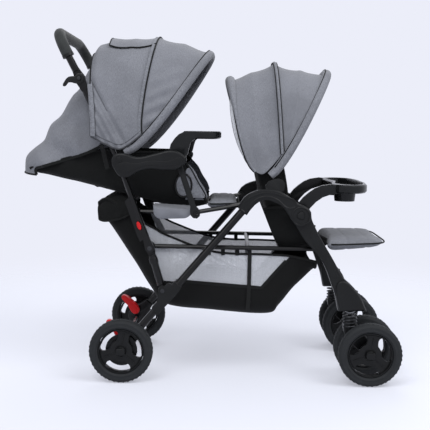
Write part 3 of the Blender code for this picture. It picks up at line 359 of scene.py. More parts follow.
def object_from(name, bm):
    obj = bpy.data.objects.new(name, mesh_of(name, bm))
    bpy.context.scene.collection.objects.link(obj)
    return obj


def baked(obj):
    """The same object with its modifiers applied and its place in its mesh."""
    bpy.context.view_layer.update()
    graph = bpy.context.evaluated_depsgraph_get()
    mesh = bpy.data.meshes.new_from_object(obj.evaluated_get(graph), depsgraph=graph)
    mesh.transform(obj.matrix_world)
    made = bpy.data.objects.new(obj.name, mesh)
    bpy.context.scene.collection.objects.link(made)
    bpy.data.objects.remove(obj)
    return made


def modified(obj, kind, **settings):
    """Gives an object a modifier with its settings."""
    modifier = obj.modifiers.new(kind.lower(), kind)
    for key, value in settings.items():
        setattr(modifier, key, value)
    return obj


def rounded(obj, width, angle):
    """Bevels the edges that are sharper than an angle."""
    return baked(modified(obj, "BEVEL", width=width, segments=2, limit_method="ANGLE",
                          angle_limit=math.radians(angle)))


def subdivided(obj):
    return baked(modified(obj, "SUBSURF", levels=1, render_levels=1))


def taken(obj):
    """An object's mesh as a bmesh; the object goes."""
    bm = bmesh.new()
    bm.from_mesh(obj.data)
    bpy.data.objects.remove(obj)
    return bm


def less(obj, tool):
    """What is left of a closed object when a closed shape is cut from it."""
    tool = object_from("tool", tool)
    obj = baked(modified(obj, "BOOLEAN", operation="DIFFERENCE", solver="MANIFOLD", object=tool))
    bpy.data.objects.remove(tool)
    return obj


def piece(name, source, finish, body, *nodes, angle=35.0, inner=None):
    """Names a finished shape, gives it its finish and lets it ride on a body, in a node's place.

    A body given as (first, second, start, end) leaves the piece unattached, where it stands.
    """
    obj = object_from(name, source) if isinstance(source, bmesh.types.BMesh) else source
    obj.name = name
    obj.data.name = name
    obj.data.materials.clear()
    obj.data.materials.append(FINISHES[finish].material)
    if inner:
        obj.data.materials.append(FINISHES[inner].material)
    obj.data.shade_smooth()
    obj.data.set_sharp_from_angle(angle=math.radians(angle))
    next(slot for slot, finishes in SLOTS.items() if finish in finishes)
    if isinstance(body, tuple):
        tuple(body[2])
        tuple(body[3])
        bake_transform(obj)
    else:
        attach(obj, body)
    if nodes:
        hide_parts(*nodes)
    return obj


def merged(*parts):
    """One mesh of several."""
    whole = bmesh.new()
    for part in parts:
        mesh = mesh_of("part", part)
        whole.from_mesh(mesh)
        bpy.data.meshes.remove(mesh)
    return whole


def lofted(shape, across, along, closed=False, caps=False):
    """A grid whose points are shape(u, v); its map "cloth" is in metres."""
    bm = bmesh.new()
    bmesh.ops.create_grid(bm, x_segments=across, y_segments=along, size=0.5)
    layer = bm.loops.layers.uv.new("cloth")
    wide = sum((shape((k + 1) / 24, 0.5) - shape(k / 24, 0.5)).length for k in range(24))
    long = sum((shape(0.5, (k + 1) / 24) - shape(0.5, k / 24)).length for k in range(24))
    for face in bm.faces:
        for loop in face.loops:
            u, v = loop.vert.co.x + 0.5, loop.vert.co.y + 0.5
            loop[layer].uv = (u * wide, v * long)
    for vert in bm.verts:
        vert.co = shape(min(max(vert.co.x + 0.5, 0.0), 1.0), min(max(vert.co.y + 0.5, 0.0), 1.0))
    if closed:
        bmesh.ops.remove_doubles(bm, verts=bm.verts, dist=0.000005)
    if caps:
        rim = [edge for edge in bm.edges if edge.is_boundary]
        bmesh.ops.holes_fill(bm, edges=rim, sides=0)
    if closed and caps:
        bmesh.ops.recalc_face_normals(bm, faces=bm.faces)
    return bm


def catmull(a, b, c, d, t):
    """A point between b and c on a smooth curve through a, b, c and d."""
    return 0.5 * ((2 * b) + (c - a) * t + (2 * a - 5 * b + 4 * c - d) * t * t
                  + (3 * b - a - 3 * c + d) * t * t * t)


def eased(points, per=6):
    """A smooth line through points."""
    points = [Vector(p) for p in points]
    line = []
    for k in range(len(points) - 1):
        before, after = points[max(k - 1, 0)], points[min(k + 2, len(points) - 1)]
        line += [catmull(before, points[k], points[k + 1], after, s / per) for s in range(per)]
    return line + [points[-1]]


def spaced(points, count):
    """Evenly spaced points along a line of points."""
    lengths = [0.0]
    for a, b in zip(points, points[1:]):
        lengths.append(lengths[-1] + (b - a).length)
    made, k = [], 0
    for step in range(count + 1):
        want = lengths[-1] * step / count
        while k < len(points) - 2 and lengths[k + 1] < want:
            k += 1
        span = lengths[k + 1] - lengths[k]
        made.append(points[k].lerp(points[k + 1], (want - lengths[k]) / span if span else 0.0))
    return made


def circle(radius, steps=16, oval=1.0):
    return [(radius * math.cos(2 * math.pi * k / steps), radius * oval * math.sin(2 * math.pi * k / steps))
            for k in range(steps)]


def band(width, thick):
    """The section of a strap: flat with slightly rounded edges."""
    w, t = width / 2, thick / 2
    return [(-w, -t * 0.4), (-w * 0.94, -t), (w * 0.94, -t), (w, -t * 0.4), (w, t * 0.4),
            (w * 0.94, t), (-w * 0.94, t), (-w, t * 0.4)]


def swept(points, section, side=None, swell=None, loop=False):
    """A closed body whose section follows a line; side keeps the section's first axis to one direction."""
    points = [Vector(p) for p in points]
    if loop:
        points.append(points[0])
    frames, last = [], None
    for k, here in enumerate(points):
        before = points[-2] if loop and k == 0 else points[max(k - 1, 0)]
        after = points[1] if loop and k == len(points) - 1 else points[min(k + 1, len(points) - 1)]
        ahead = (after - before).normalized()
        if side is not None:
            first = Vector(side) - ahead * ahead.dot(Vector(side))
        elif last is None:
            first = ahead.orthogonal()
        else:
            first = last - ahead * ahead.dot(last)
        first.normalize()
        last = first
        frames.append((here, first, ahead.cross(first)))
    count, rim = len(points) - 1, len(section)

    def shape(u, v):
        here, first, second = frames[round(v * count)]
        a, b = section[round(u * rim) % rim]
        grow = swell(v) if swell else 1.0
        return here + first * (a * grow) + second * (b * grow)

    bm = lofted(shape, rim, count, closed=True, caps=not loop)
    if loop:
        bmesh.ops.recalc_face_normals(bm, faces=bm.faces)
    return bm


def outline_plate(outline, y_low, y_high, edge=0.0, steps=8, rounds=3):
    """A flat moulding in side view through smooth points (x, z) and sharp ones (x, z, 'corner')."""
    curve = bpy.data.curves.new("plate", "CURVE")
    curve.dimensions = "2D"
    curve.fill_mode = "BOTH"
    curve.resolution_u = steps
    curve.extrude = abs(y_high - y_low) / 2 - edge
    curve.bevel_depth = edge
    curve.bevel_resolution = rounds
    curve.offset = -edge
    spline = curve.splines.new("BEZIER")
    spline.bezier_points.add(len(outline) - 1)
    spline.use_cyclic_u = True
    for slot, point in zip(spline.bezier_points, outline):
        slot.co = (point[0], point[1], 0.0)
        kind = "VECTOR" if len(point) == 3 else "AUTO"
        slot.handle_left_type = kind
        slot.handle_right_type = kind
    obj = bpy.data.objects.new("plate", curve)
    obj.rotation_euler = (math.pi / 2, 0, 0)
    obj.location = (0, (y_low + y_high) / 2, 0)
    bpy.context.scene.collection.objects.link(obj)
    bm = taken(baked(obj))
    bmesh.ops.remove_doubles(bm, verts=bm.verts, dist=0.00002)
    bmesh.ops.recalc_face_normals(bm, faces=bm.faces)
    return bm


def face_panel(bm, side, margin, depth):
    """Sinks the flat outer face of a moulding inside a margin."""
    bmesh.ops.dissolve_limit(bm, angle_limit=math.radians(0.3), verts=bm.verts, edges=bm.edges)
    faces = [f for f in bm.faces if f.normal.y * side > 0.99 and f.calc_area() > 0.0006]
    bmesh.ops.inset_region(bm, faces=faces, thickness=margin, depth=0.0, use_even_offset=True)
    bmesh.ops.inset_region(bm, faces=faces, thickness=abs(depth) * 1.3, depth=-depth, use_even_offset=True)
    return bm


def span(side, inner, outer):
    """The lower and the higher y of something that lies between two distances from the middle."""
    return (inner, outer) if side > 0 else (-outer, -inner)


def drum(radius, height, edge, steps):
    """An upright round boss with softened rims."""
    bm = bmesh.new()
    bmesh.ops.create_cone(bm, cap_ends=True, segments=steps, radius1=radius, radius2=radius, depth=height)
    rims = [e for e in bm.edges if abs(e.verts[0].co.z - e.verts[1].co.z) < 1e-6]
    bmesh.ops.bevel(bm, geom=rims, offset=edge, affect="EDGES", segments=2, profile=0.5, material=-1)
    return bm


def disc(x, z, y_low, y_high, radius, steps=32, edge=0.001):
    """A round boss across the stroller."""
    bm = drum(radius, y_high - y_low, edge, steps)
    bmesh.ops.rotate(bm, verts=bm.verts, cent=(0, 0, 0), matrix=Matrix.Rotation(-math.pi / 2, 3, "X"))
    bmesh.ops.translate(bm, verts=bm.verts, vec=(x, (y_low + y_high) / 2, z))
    return bm


def turned(profile, steps=96, closed=True):
    """A body of revolution about the cross axis, from an outline of (radius, y)."""
    bm = bmesh.new()
    verts = [bm.verts.new((r, w, 0.0)) for r, w in profile]
    edges = [bm.edges.new((a, b)) for a, b in zip(verts, verts[1:])]
    if closed:
        edges.append(bm.edges.new((verts[-1], verts[0])))
    bmesh.ops.spin(bm, geom=verts + edges, cent=(0, 0, 0), axis=(0, 1, 0), dvec=(0, 0, 0),
                   angle=2 * math.pi, steps=steps, use_merge=True)
    bmesh.ops.remove_doubles(bm, verts=bm.verts, dist=0.00001)
    bmesh.ops.recalc_face_normals(bm, faces=bm.faces)
    return bm


def solid_box(centre, size, edge=0.001, turn=None, segments=2):
    """A box with softened edges."""
    bm = bmesh.new()
    bmesh.ops.create_cube(bm, size=1.0)
    bmesh.ops.scale(bm, verts=bm.verts, vec=size)
    bmesh.ops.bevel(bm, geom=bm.edges[:], offset=edge, affect="EDGES", segments=segments, profile=0.5,
                    material=-1)
    if turn:
        bmesh.ops.rotate(bm, verts=bm.verts, cent=(0, 0, 0), matrix=turn)
    bmesh.ops.translate(bm, verts=bm.verts, vec=centre)
    return bm


def refined(node, edge=0.0012):
    """A copy of a frame part with its loose faces merged and its hard edges rounded."""
    bm = bmesh.new()
    bm.from_mesh(NODES[node].data)
    bmesh.ops.remove_doubles(bm, verts=bm.verts, dist=0.00002)
    bmesh.ops.dissolve_limit(bm, angle_limit=math.radians(0.3), verts=bm.verts, edges=bm.edges)
    return rounded(object_from(node + "_shape", bm), edge, 30.0)


def softened(node, edge, finish, body, name=None):
    """Shows a frame part in its own shape with softened edges."""
    return piece(name or node + "_soft", refined(node, edge), finish, body, node)


def screw_head(x, z, y, side, radius):
    """A pan-head screw with a socket, on a face y away from the middle."""
    head = disc(x, z, *span(side, y, y + 0.0022), radius, steps=20, edge=0.0007)
    flat = [f for f in head.faces if f.normal.y * side > 0.99]
    bmesh.ops.inset_region(head, faces=flat, thickness=radius * 0.42, depth=0.0)
    bmesh.ops.inset_region(head, faces=flat, thickness=radius * 0.05, depth=-0.0011)
    return head


def squared(value, power):
    """A sine or cosine bent so that it draws a rounded square instead of a circle."""
    return math.copysign(abs(value) ** power, value)


class Hoop:
    """A canopy bow from the right foot over the crown to the left foot, its sides bent forward by bend."""

    def __init__(self, foot, crown, half, power=2.8, bend=0.0):
        self.plane = Vector((crown[1] - foot[1], 0.0, foot[0] - crown[0])).normalized()
        line = []
        for k in range(161):
            angle = math.pi * k / 160
            across = -squared(math.cos(angle), 2 / power)
            rise = math.sin(angle) ** (2 / power) if 0 < k < 160 else 0.0
            line.append(Vector((foot[0] + (crown[0] - foot[0]) * rise, across * half,
                                foot[1] + (crown[1] - foot[1]) * rise))
                        + self.plane * bend * math.sin(math.pi * rise ** 0.62))
        self.line = spaced(line, 96)
        self.foot = Vector((foot[0], 0.0, foot[1]))

    def at(self, u):
        k = min(int(u * 96), 95)
        return self.line[k].lerp(self.line[k + 1], u * 96 - k)

    def path(self, start=0.0, end=1.0, count=48):
        return [self.at(start + (end - start) * k / count) for k in range(count + 1)]

    def outwards(self, point):
        """The direction away from the bow's foot line, in the bow's own plane."""
        away = Vector((point.x - self.foot.x, point.y, point.z - self.foot.z))
        away -= self.plane * away.dot(self.plane)
        return away.normalized() if away.length > 1e-6 else Vector((0, 1, 0))

    def beside(self, out, ahead=0.0, start=0.0, end=1.0, count=110):
        """The bow's line moved outwards in its plane, and ahead of the plane."""
        return [p + self.outwards(p) * out + self.plane * ahead for p in self.path(start, end, count)]


def over_hoops(rows, sag, ruffle):
    """A cloth surface over hoops: shape(u, v), u across from right to left, v from the first hoop on."""
    last = len(rows) - 1

    def shape(u, v):
        k = min(int(v * last), last - 1)
        t = v * last - k
        point = catmull(*(rows[min(max(k + j, 0), last)].at(u) for j in (-1, 0, 1, 2)), t)
        middle = (rows[k].foot + rows[k + 1].foot) / 2
        inward = (Vector((middle.x, point.y * 0.3, middle.z)) - point).normalized()
        fall = math.sin(math.pi * min(max(u, 0.0), 1.0)) ** 0.5
        drop = (sag[k] if sag else 0.0) * 4 * t * (1 - t) * fall
        return point + inward * (drop + ruffle(point, u, v))

    return shape


def outward(bm, inside):
    """Turns an open surface's faces away from a point inside it."""
    inside = Vector(inside)
    bm.normal_update()
    lean = sum((f.calc_center_median() - inside).dot(f.normal) * f.calc_area() for f in bm.faces)
    if lean < 0:
        bmesh.ops.reverse_faces(bm, faces=bm.faces)
    return bm


def cloth_size(bm, shape):
    """Width, length and area of a cloth surface, as its cutting pattern."""
    area = sum(f.calc_area() for f in bm.faces)
    wide = max(sum((shape((k + 1) / 40, v) - shape(k / 40, v)).length for k in range(40))
               for v in (0.0, 0.25, 0.5, 0.75, 1.0))
    long = max(sum((shape(u, (k + 1) / 40) - shape(u, k / 40)).length for k in range(40))
               for u in (0.0, 0.12, 0.25, 0.5, 0.75, 0.88, 1.0))
    return wide, long, min(area, wide * long)


def cloth_piece(name, shape, across, along, inside, finish, body, *nodes, held="stretched",
                rests_on=(), inner=None, thick=CLOTH):
    """A cloth panel over its hoops; the size it was cut to is worked out, then left unused."""
    bm = outward(lofted(shape, across, along), inside)
    wide, long, area = cloth_size(bm, shape)
    wide, long = round(wide, 3), round(long, 3)
    walls = {"material_offset": 1, "material_offset_rim": 0} if inner else {}
    obj = subdivided(modified(object_from(name, bm), "SOLIDIFY", thickness=thick, offset=-1.0,
                              use_even_offset=False, **walls))
    obj = piece(name, obj, finish, body, *nodes, angle=60.0, inner=inner)
    round(min(area, 0.999 * wide * long), 4)


def piping(name, points, radius, finish, body, steps=10, loop=False):
    """A round cord along a line."""
    piece(name, swept(points, circle(radius, steps), loop=loop), finish, body, angle=70.0)


def strap(name, points, width, thick, finish, body, side, angle=50):
    """A flat band along a line, its width kept to one direction."""
    piece(name, swept(points, band(width, thick), side=side), finish, body, angle=angle)


def inflated(obj, cap, name):
    """Pads a closed shape by letting pressure swell its cloth, each point by no more than a cap."""
    obj = baked(modified(obj, "REMESH", mode="VOXEL", voxel_size=0.005))
    start = [v.co.copy() for v in obj.data.vertices]
    cloth = obj.modifiers.new("swell", "CLOTH").settings
    cloth.use_pressure = True
    cloth.uniform_pressure_force = 4.0
    cloth.quality = 4
    cloth.effector_weights.gravity = 0.0
    scene = bpy.context.scene
    for step in range(1, 21):
        scene.frame_set(step)
    obj = baked(obj)
    scene.frame_set(1)
    for vert, was in zip(obj.data.vertices, start):
        move = vert.co - was
        if move.length > cap:
            vert.co = was + move * (cap / move.length)
    bm = taken(obj)
    bmesh.ops.smooth_vert(bm, verts=bm.verts, factor=0.5, use_axis_x=True, use_axis_y=True, use_axis_z=True)
    return object_from(name, bm)


# Rear canopy and hood

# Each hoop is its foot and crown as (x, z), half its width, how square it is, and its bend
REAR_HALF, REAR_HEM_HALF, HOOD_HALF, FRONT_HALF = 0.2265, 0.216, 0.184, 0.176
REAR_BACK = [
    ((-0.334, 0.706), (-0.337, 0.950), REAR_HALF + 0.0005, 4.2),
    ((-0.318, 0.698), (-0.321, 0.976), REAR_HALF, 4.0),
    ((-0.290, 0.684), (-0.284, 0.987), REAR_HALF, 3.6),
    ((-0.246, 0.673), (-0.222, 0.996), REAR_HALF, 3.3),
    ((-0.188, 0.715), (-0.150, 1.002), REAR_HALF, 3.1, -0.008)]
REAR_FRONT = [
    ((-0.1872, 0.715), (-0.1492, 1.002), REAR_HALF, 3.1, -0.008),
    ((-0.184, 0.712), (-0.076, 0.985), 0.2220, 3.1, 0.003),
    ((-0.181, 0.709), (-0.010, 0.961), REAR_HEM_HALF, 3.1, 0.014)]
REAR_HEM = ((-0.238, 0.661), (-0.001, 0.953), REAR_HEM_HALF, 3.1, 0.018)
DART = ((-0.336, 0.868), (-0.240, 0.686))
HOOD = [
    ((-0.312, 0.676), (-0.326, 0.946), HOOD_HALF - 0.002),
    ((-0.352, 0.656), (-0.358, 0.914), HOOD_HALF - 0.004),
    ((-0.400, 0.640), (-0.410, 0.832), HOOD_HALF - 0.007, 2.6),
    ((-0.455, 0.623), (-0.478, 0.742), HOOD_HALF - 0.014, 2.5),
    ((-0.484, 0.614), (-0.514, 0.682), HOOD_HALF - 0.018, 2.5),
    ((-0.504, 0.607), (-0.5560, 0.644), HOOD_HALF - 0.022, 2.5),
    ((-0.503, 0.590), (-0.5580, 0.596), HOOD_HALF - 0.024, 2.5)]
FRONT_BACK = [
    ((0.137, 0.610), (0.060, 0.878), FRONT_HALF, 2.8, -0.016),
    ((0.164, 0.605), (0.122, 0.904), FRONT_HALF, 2.8, -0.006),
    ((0.2140, 0.662), (0.1930, 0.932), FRONT_HALF)]
FRONT_FRONT = [
    ((0.2148, 0.662), (0.1938, 0.932), FRONT_HALF),
    ((0.223, 0.665), (0.272, 0.913), FRONT_HALF, 2.8, 0.004),
    ((0.232, 0.668), (0.344, 0.900), FRONT_HALF, 2.8, 0.010)]
FRONT_HEM = ((0.181, 0.598), (0.352, 0.902), FRONT_HALF, 2.8, 0.012)
HEM_R = 0.0135
# Two bodies and two points on the cloth between a canopy's seam and its hem; the piece rides on neither body
REAR_FOLD = ("uprights", "rear_canopy_front", (-0.169, 0.0, 0.860), (-0.100, 0.0, 0.832))
FRONT_FOLD = ("chassis", "front_canopy_front", (0.2045, 0.0, 0.800), (0.268, 0.0, 0.768))


def hoops(rows):
    return [Hoop(*row) for row in rows]


def wrinkles(depth, scale, low=0.0, high=0.0):
    """Folds that are deepest where a panel's feet are gathered."""

    def drop(point, u, v):
        foot = min(u, 1 - u) * 2
        near = max(0.0, 1 - foot / 0.5)
        fold = noise.noise(Vector((point.x * scale, point.y * scale * 0.4, point.z * scale * 0.7)))
        fine = noise.noise(Vector((point.x * scale * 2.7 + 4, point.y * scale, point.z * scale * 2 - 3)))
        ends = min(v, 1 - v) * 4
        return (fold * (0.4 + near * low) + fine * (0.15 + near * high)) * depth * min(1.0, ends)

    return drop


def tube_swell(tip, run):
    """Narrows a tube towards both ends."""

    def swell(v):
        end = min(v, 1 - v)
        return tip + (1 - tip) * min(1.0, end / run) ** 0.7

    return swell


def rear_canopy(wrinkle):
    back = hoops(REAR_BACK)
    folds = wrinkles(wrinkle, 22.0, 1.6, 0.8)
    (dx, dz), (ex, ez) = DART
    length = math.hypot(ex - dx, ez - dz)

    def ruffle(point, u, v):
        drop = folds(point, u, v)
        if abs(point.y) > REAR_HALF * 0.86:
            gap = ((point.z - dz) * (ex - dx) - (point.x - dx) * (ez - dz)) / length
            ends = min(1.0, min(v, 1 - v) * 7 + 0.1)
            drop += 0.0060 * math.exp(-(gap / 0.0055) ** 2) * ends
            if gap < 0:
                drop += (0.0036 * math.sin(-gap * 2 * math.pi / 0.017 + point.x * 9)
                         * min(1.0, -gap / 0.012) * math.exp(gap / 0.06) * ends)
        return drop

    shape = over_hoops(back, [0.0010, 0.0020, 0.0030, 0.0050], ruffle)
    cloth_piece("rear_canopy_back_cloth", shape, 132, 52, (-0.26, 0, 0.75), "grey_cloth", "uprights",
                "rear_canopy_back", rests_on=["seam_bow_rear"], inner="painted_shade_lining")
    plain = wrinkles(wrinkle * 0.8, 26.0, 0.8, 0.4)

    def pull(point, u, v):
        """Folds that run from the hem's ends up towards the seam."""
        near = max(0.0, 1 - min(u, 1 - u) / 0.30)
        across = point.z - 0.40 * point.x
        fold = math.sin(across * 2 * math.pi / 0.036) * math.sin(math.pi * v)
        return plain(point, u, v) + 0.0048 * near * fold

    shape_front = over_hoops(hoops(REAR_FRONT), [0.0045, 0.0025], pull)
    cloth_piece("rear_canopy_front_cloth", shape_front, 132, 32, (-0.15, 0, 0.75), "grey_cloth",
                REAR_FOLD, "rear_canopy_front", rests_on=["rear_hem"], inner="painted_shade_lining")
    padded_hem("rear", REAR_HEM, "rear_canopy_front")
    seam, rear = back[-1], back[0]
    strap("bow_pocket_rear", seam.beside(0.0003, -0.0055), 0.0105, 0.0014, "grey_cloth_plain", "uprights",
          seam.plane, 70)
    piping("seam_bow_rear", seam.beside(0.0016), 0.0021, "piping_cloth", "uprights")
    piping("rear_edge_piping", rear.beside(0.0010, -0.0006), 0.0018, "piping_cloth", "uprights", 8)
    for side_name, side in SIDES:
        start, end = (0.0, 0.175) if side < 0 else (0.825, 1.0)
        strip = [p + rear.outwards(p) * 0.0020
                 + rear.plane * (0.0065 - 0.009 * ((p.z - rear.foot.z) / 0.16) ** 2)
                 for p in rear.path(start, end, 40)]
        strap("rear_edge_strip_" + side_name, strip, 0.0145, 0.0034, "grey_cloth_plain", "uprights",
              rear.plane, 70)
        inner_line = [p + rear.plane * 0.0068 + rear.outwards(p) * 0.0006 for p in strip]
        piping("rear_strip_piping_" + side_name, inner_line, 0.0011, "piping_cloth", "uprights", 6)
        low = [p - Vector((0, 0, 0.0012)) for p in edge_line(shape, side, 60, out=0.0004)]
        piping("canopy_edge_" + side_name, low, 0.0024, "painted_shade_lining", "uprights", 8)
        near_edge = 0.0125 if side < 0 else 0.9875
        low_seam = [shape(near_edge, 0.05 + 0.95 * k / 60) + Vector((0, side * 0.0006, 0)) for k in range(61)]
        piping("canopy_edge_seam_" + side_name, low_seam, 0.0008, "seam_thread", "uprights", 6)
        line = [nearest(shape, dx + (ex - dx) * t, dz + (ez - dz) * t, side) + Vector((0, side * 0.0005, 0))
                for t in (k / 12 * 0.5 for k in range(13))]
        piping("dart_seam_" + side_name, eased(line, 3), 0.0009, "seam_thread", "uprights", 6)
        hang = [(-0.306, side * 0.2150, 0.682), (-0.302, side * 0.2000, 0.664),
                (-0.297, side * 0.1950, 0.640), (-0.290, side * 0.1935, 0.612)]
        strap("canopy_tie_" + side_name, eased(hang), 0.0125, 0.0016, "webbing", "uprights", (1, 0, 0))
    return shape


def padded_hem(name, row, body):
    """A canopy's padded hem, the piping between it and its panel, and a dark strip inside it that is painted
    shade.
    """
    hem = Hoop(*row)
    piece(name + "_hem", swept(hem.path(0, 1, 96), circle(HEM_R, 18), swell=tube_swell(0.86, 0.05)),
          "grey_cloth_plain", body, angle=70)
    edge = hem.beside(HEM_R * 0.72, -HEM_R * 0.72, 0.03, 0.97, 84)
    if (edge[42] - hem.foot).x > (hem.at(0.5) - hem.foot).x:
        edge = [p + hem.plane * (HEM_R * 1.44) for p in edge]
    piping(name + "_hem_piping", edge, 0.0017, "piping_cloth", body, 8)
    # Painted shade: a strip of the darker inner cloth inside the hem.
    strap(name + "_hem_painted_shade", hem.beside(-HEM_R * 0.90, 0.0, 0.04, 0.96, 84), 0.012, 0.0016, "painted_shade_lining",
          body, hem.plane, 70)


def nearest(shape, x, z, side):
    """The point of a surface, on one side, that is nearest to a place in side view."""
    lows = (0.02, 0.42) if side < 0 else (0.58, 0.98)
    best, at = None, (0.5, 0.5)
    span_u, span_v = lows, (0.0, 1.0)
    for _ in range(4):
        for a in range(13):
            for b in range(13):
                u = span_u[0] + (span_u[1] - span_u[0]) * a / 12
                v = span_v[0] + (span_v[1] - span_v[0]) * b / 12
                point = shape(u, v)
                off = (point.x - x) ** 2 + (point.z - z) ** 2
                if best is None or off < best:
                    best, at = off, (u, v)
        du, dv = (span_u[1] - span_u[0]) / 8, (span_v[1] - span_v[0]) / 8
        span_u = (max(lows[0], at[0] - du), min(lows[1], at[0] + du))
        span_v = (max(0.0, at[1] - dv), min(1.0, at[1] + dv))
    return shape(*at)


def peekaboo_flap(shape):
    """The flap over the top of the rear canopy, sewn down at its front edge."""

    def top(u, v):
        base = shape(0.5 + (u - 0.5) * 0.36, 1.0 - v * 0.53)
        lift = 0.0030 + 0.0080 * v ** 2.5 + 0.0012 * math.sin(u * 9 + v * 5) - 0.0014 * abs(2 * u - 1) * v
        return base + Vector((0, 0, lift))

    cloth_piece("canopy_flap", top, 30, 26, (-0.22, 0, 0.5), "grey_cloth", "uprights", held="laid",
                rests_on=["rear_canopy_back_cloth"], inner="painted_shade_lining")
    rim = [top(0, k / 20) for k in range(20)] + [top(k / 14, 1) for k in range(14)] \
        + [top(1, 1 - k / 20) for k in range(21)]
    piping("canopy_flap_binding", rim, 0.0019, "piping_cloth", "uprights", 8)


def tail_hood(wrinkle):
    rows = hoops(HOOD)
    soft = wrinkles(wrinkle * 2.6, 13.0, 1.0, 0.4)

    def folds(point, u, v):
        """Soft folds that run from the crown's front down to the tail's corners."""
        across = point.z * 0.8 + point.x * 0.55
        side = min(1.0, abs(point.y) / 0.12)
        fold = math.sin(across * 2 * math.pi / 0.092 + 1.0) * math.sin(math.pi * v)
        return soft(point, u, v) + 0.0080 * side * fold

    shape = over_hoops(rows, [0.0010, 0.0035, 0.0030, 0.0010, 0.0006, 0.0], folds)
    cloth_piece("tail_hood_cloth", shape, 110, 64, (-0.42, 0, 0.64), "grey_cloth", "uprights", "tail_hood",
                rests_on=["rear_edge_piping"], inner="painted_shade_lining")
    for side_name, side in SIDES:
        edge = [p + Vector((0, 0, 0.001)) for p in edge_line(shape, side, 60, out=0.0006)]
        strap("hood_rim_" + side_name, edge, 0.0026, 0.0080, "piping_cloth", "uprights", (0, 1, 0), 70)
    piping("hood_tail_binding", rows[-1].path(0.0, 1.0, 72), 0.0026, "piping_cloth", "uprights", 8)


def front_canopy(wrinkle):
    back = hoops(FRONT_BACK)
    shape = over_hoops(back, [0.0030, 0.0045], wrinkles(wrinkle, 24.0, 1.0, 0.5))
    cloth_piece("front_canopy_back_cloth", shape, 84, 36, (0.15, 0, 0.66), "grey_cloth", "chassis",
                "front_canopy_back", rests_on=["front_rear_bow"], inner="painted_shade_lining")
    rear_bow, middle = back[0], back[-1]
    piece("front_rear_bow", swept(rear_bow.path(0.0, 1.0, 84), circle(0.0150, 18),
                                  swell=lambda v: 0.26 + 0.74 * math.exp(-((v - 0.5) / 0.22) ** 4)),
          "grey_cloth_plain", "chassis", angle=70)
    piping("front_rear_piping", rear_bow.beside(-0.002, -0.0040, count=96), 0.0030, "piping_cloth",
           "chassis", 8)
    piping("front_middle_bow", middle.beside(0.001, count=84), 0.0046, "grey_cloth_plain", "chassis", 14)
    for name, ahead in (("front_bow_piping_rear", 0.0052), ("front_bow_piping_front", -0.0052)):
        piping(name, middle.beside(0.0016, ahead, count=96), 0.0017, "piping_cloth", "chassis", 8)
    shape_front = over_hoops(hoops(FRONT_FRONT), [0.0085, 0.0035], wrinkles(wrinkle * 0.8, 26.0, 0.8, 0.4))
    cloth_piece("front_canopy_front_cloth", shape_front, 84, 30, (0.24, 0, 0.66), "grey_cloth",
                FRONT_FOLD, "front_canopy_front", rests_on=["front_hem"], inner="painted_shade_lining")
    padded_hem("front", FRONT_HEM, "front_canopy_front")
    for side_name, side in SIDES:
        def window(u, v, side=side):
            along = 0.34 - 0.30 * v
            base = rear_bow.at(along if side < 0 else 1.0 - along)
            return (base - rear_bow.plane * (0.004 + 0.011 * u * math.sin(math.pi * v) ** 0.6)
                    - Vector((0, side * (0.002 + 0.006 * u), 0)))

        cloth_piece("side_window_" + side_name, window, 10, 14, (0.12, 0, 0.66), "clear_vinyl", "chassis",
                    rests_on=["front_rear_bow"], thick=0.0008)


# Seats

REAR_W, FRONT_W, BASKET_W = 0.168, 0.163, 0.1636
BACK_W = FRONT_W - 0.0078
SQUARE = 6.0            # how square the seats' and the basket's sections are
REAR_BEND = ("rear_seat_frame", "rear_backrest", (-0.040, 0.0, 0.56), (-0.225, 0.0, 0.56))
REAR_BUCKET = [
    ((-0.524, 0.610), (-0.522, 0.600), REAR_W - 0.012, SQUARE),
    ((-0.480, 0.622), (-0.484, 0.590), REAR_W - 0.006, SQUARE),
    ((-0.400, 0.645), (-0.400, 0.571), REAR_W, SQUARE),
    ((-0.319, 0.665), (-0.319, 0.551), REAR_W, SQUARE),
    ((-0.200, 0.662), (-0.198, 0.522), REAR_W, SQUARE),
    ((-0.130, 0.661), (-0.130, 0.504), REAR_W, SQUARE),
    ((-0.100, 0.658), (-0.100, 0.499), REAR_W, SQUARE),
    ((-0.066, 0.634), (-0.070, 0.496), REAR_W, SQUARE),
    ((-0.036, 0.580), (-0.040, 0.498), REAR_W, SQUARE),
    ((-0.0035, 0.522), (-0.0035, 0.507), REAR_W, SQUARE)]
FRONT_BUCKET = [
    ((0.162, 0.500), (0.208, 0.386), FRONT_W, SQUARE),
    ((0.204, 0.505), (0.232, 0.376), FRONT_W, SQUARE),
    ((0.262, 0.491), (0.262, 0.377), FRONT_W, SQUARE),
    ((0.310, 0.438), (0.310, 0.383), FRONT_W, SQUARE),
    ((0.3512, 0.414), (0.3512, 0.3896), FRONT_W, SQUARE)]
FRONT_BACKREST = [
    ((0.226, 0.410), (0.206, 0.398), BACK_W, SQUARE),
    ((0.236, 0.502), (0.166, 0.506), BACK_W, SQUARE),
    ((0.216, 0.632), (0.132, 0.642), BACK_W, SQUARE),
    ((0.174, 0.762), (0.108, 0.762), BACK_W - 0.014, SQUARE)]
BASKET = [
    ((-0.322, 0.512), (-0.316, 0.466), BASKET_W - 0.012, SQUARE),
    ((-0.290, 0.522), (-0.296, 0.448), BASKET_W - 0.004, SQUARE),
    ((-0.215, 0.470), (-0.224, 0.340), BASKET_W, SQUARE),
    ((-0.160, 0.440), (-0.170, 0.252), BASKET_W, SQUARE),
    ((-0.110, 0.415), (-0.122, 0.200), BASKET_W, SQUARE),
    ((0.020, 0.372), (0.020, 0.186), BASKET_W, SQUARE),
    ((0.176, 0.366), (0.180, 0.178), BASKET_W, SQUARE),
    ((0.226, 0.364), (0.216, 0.204), BASKET_W, SQUARE),
    ((0.268, 0.358), (0.268, 0.270), BASKET_W, SQUARE),
    ((0.322, 0.346), (0.320, 0.322), BASKET_W - 0.004, SQUARE)]
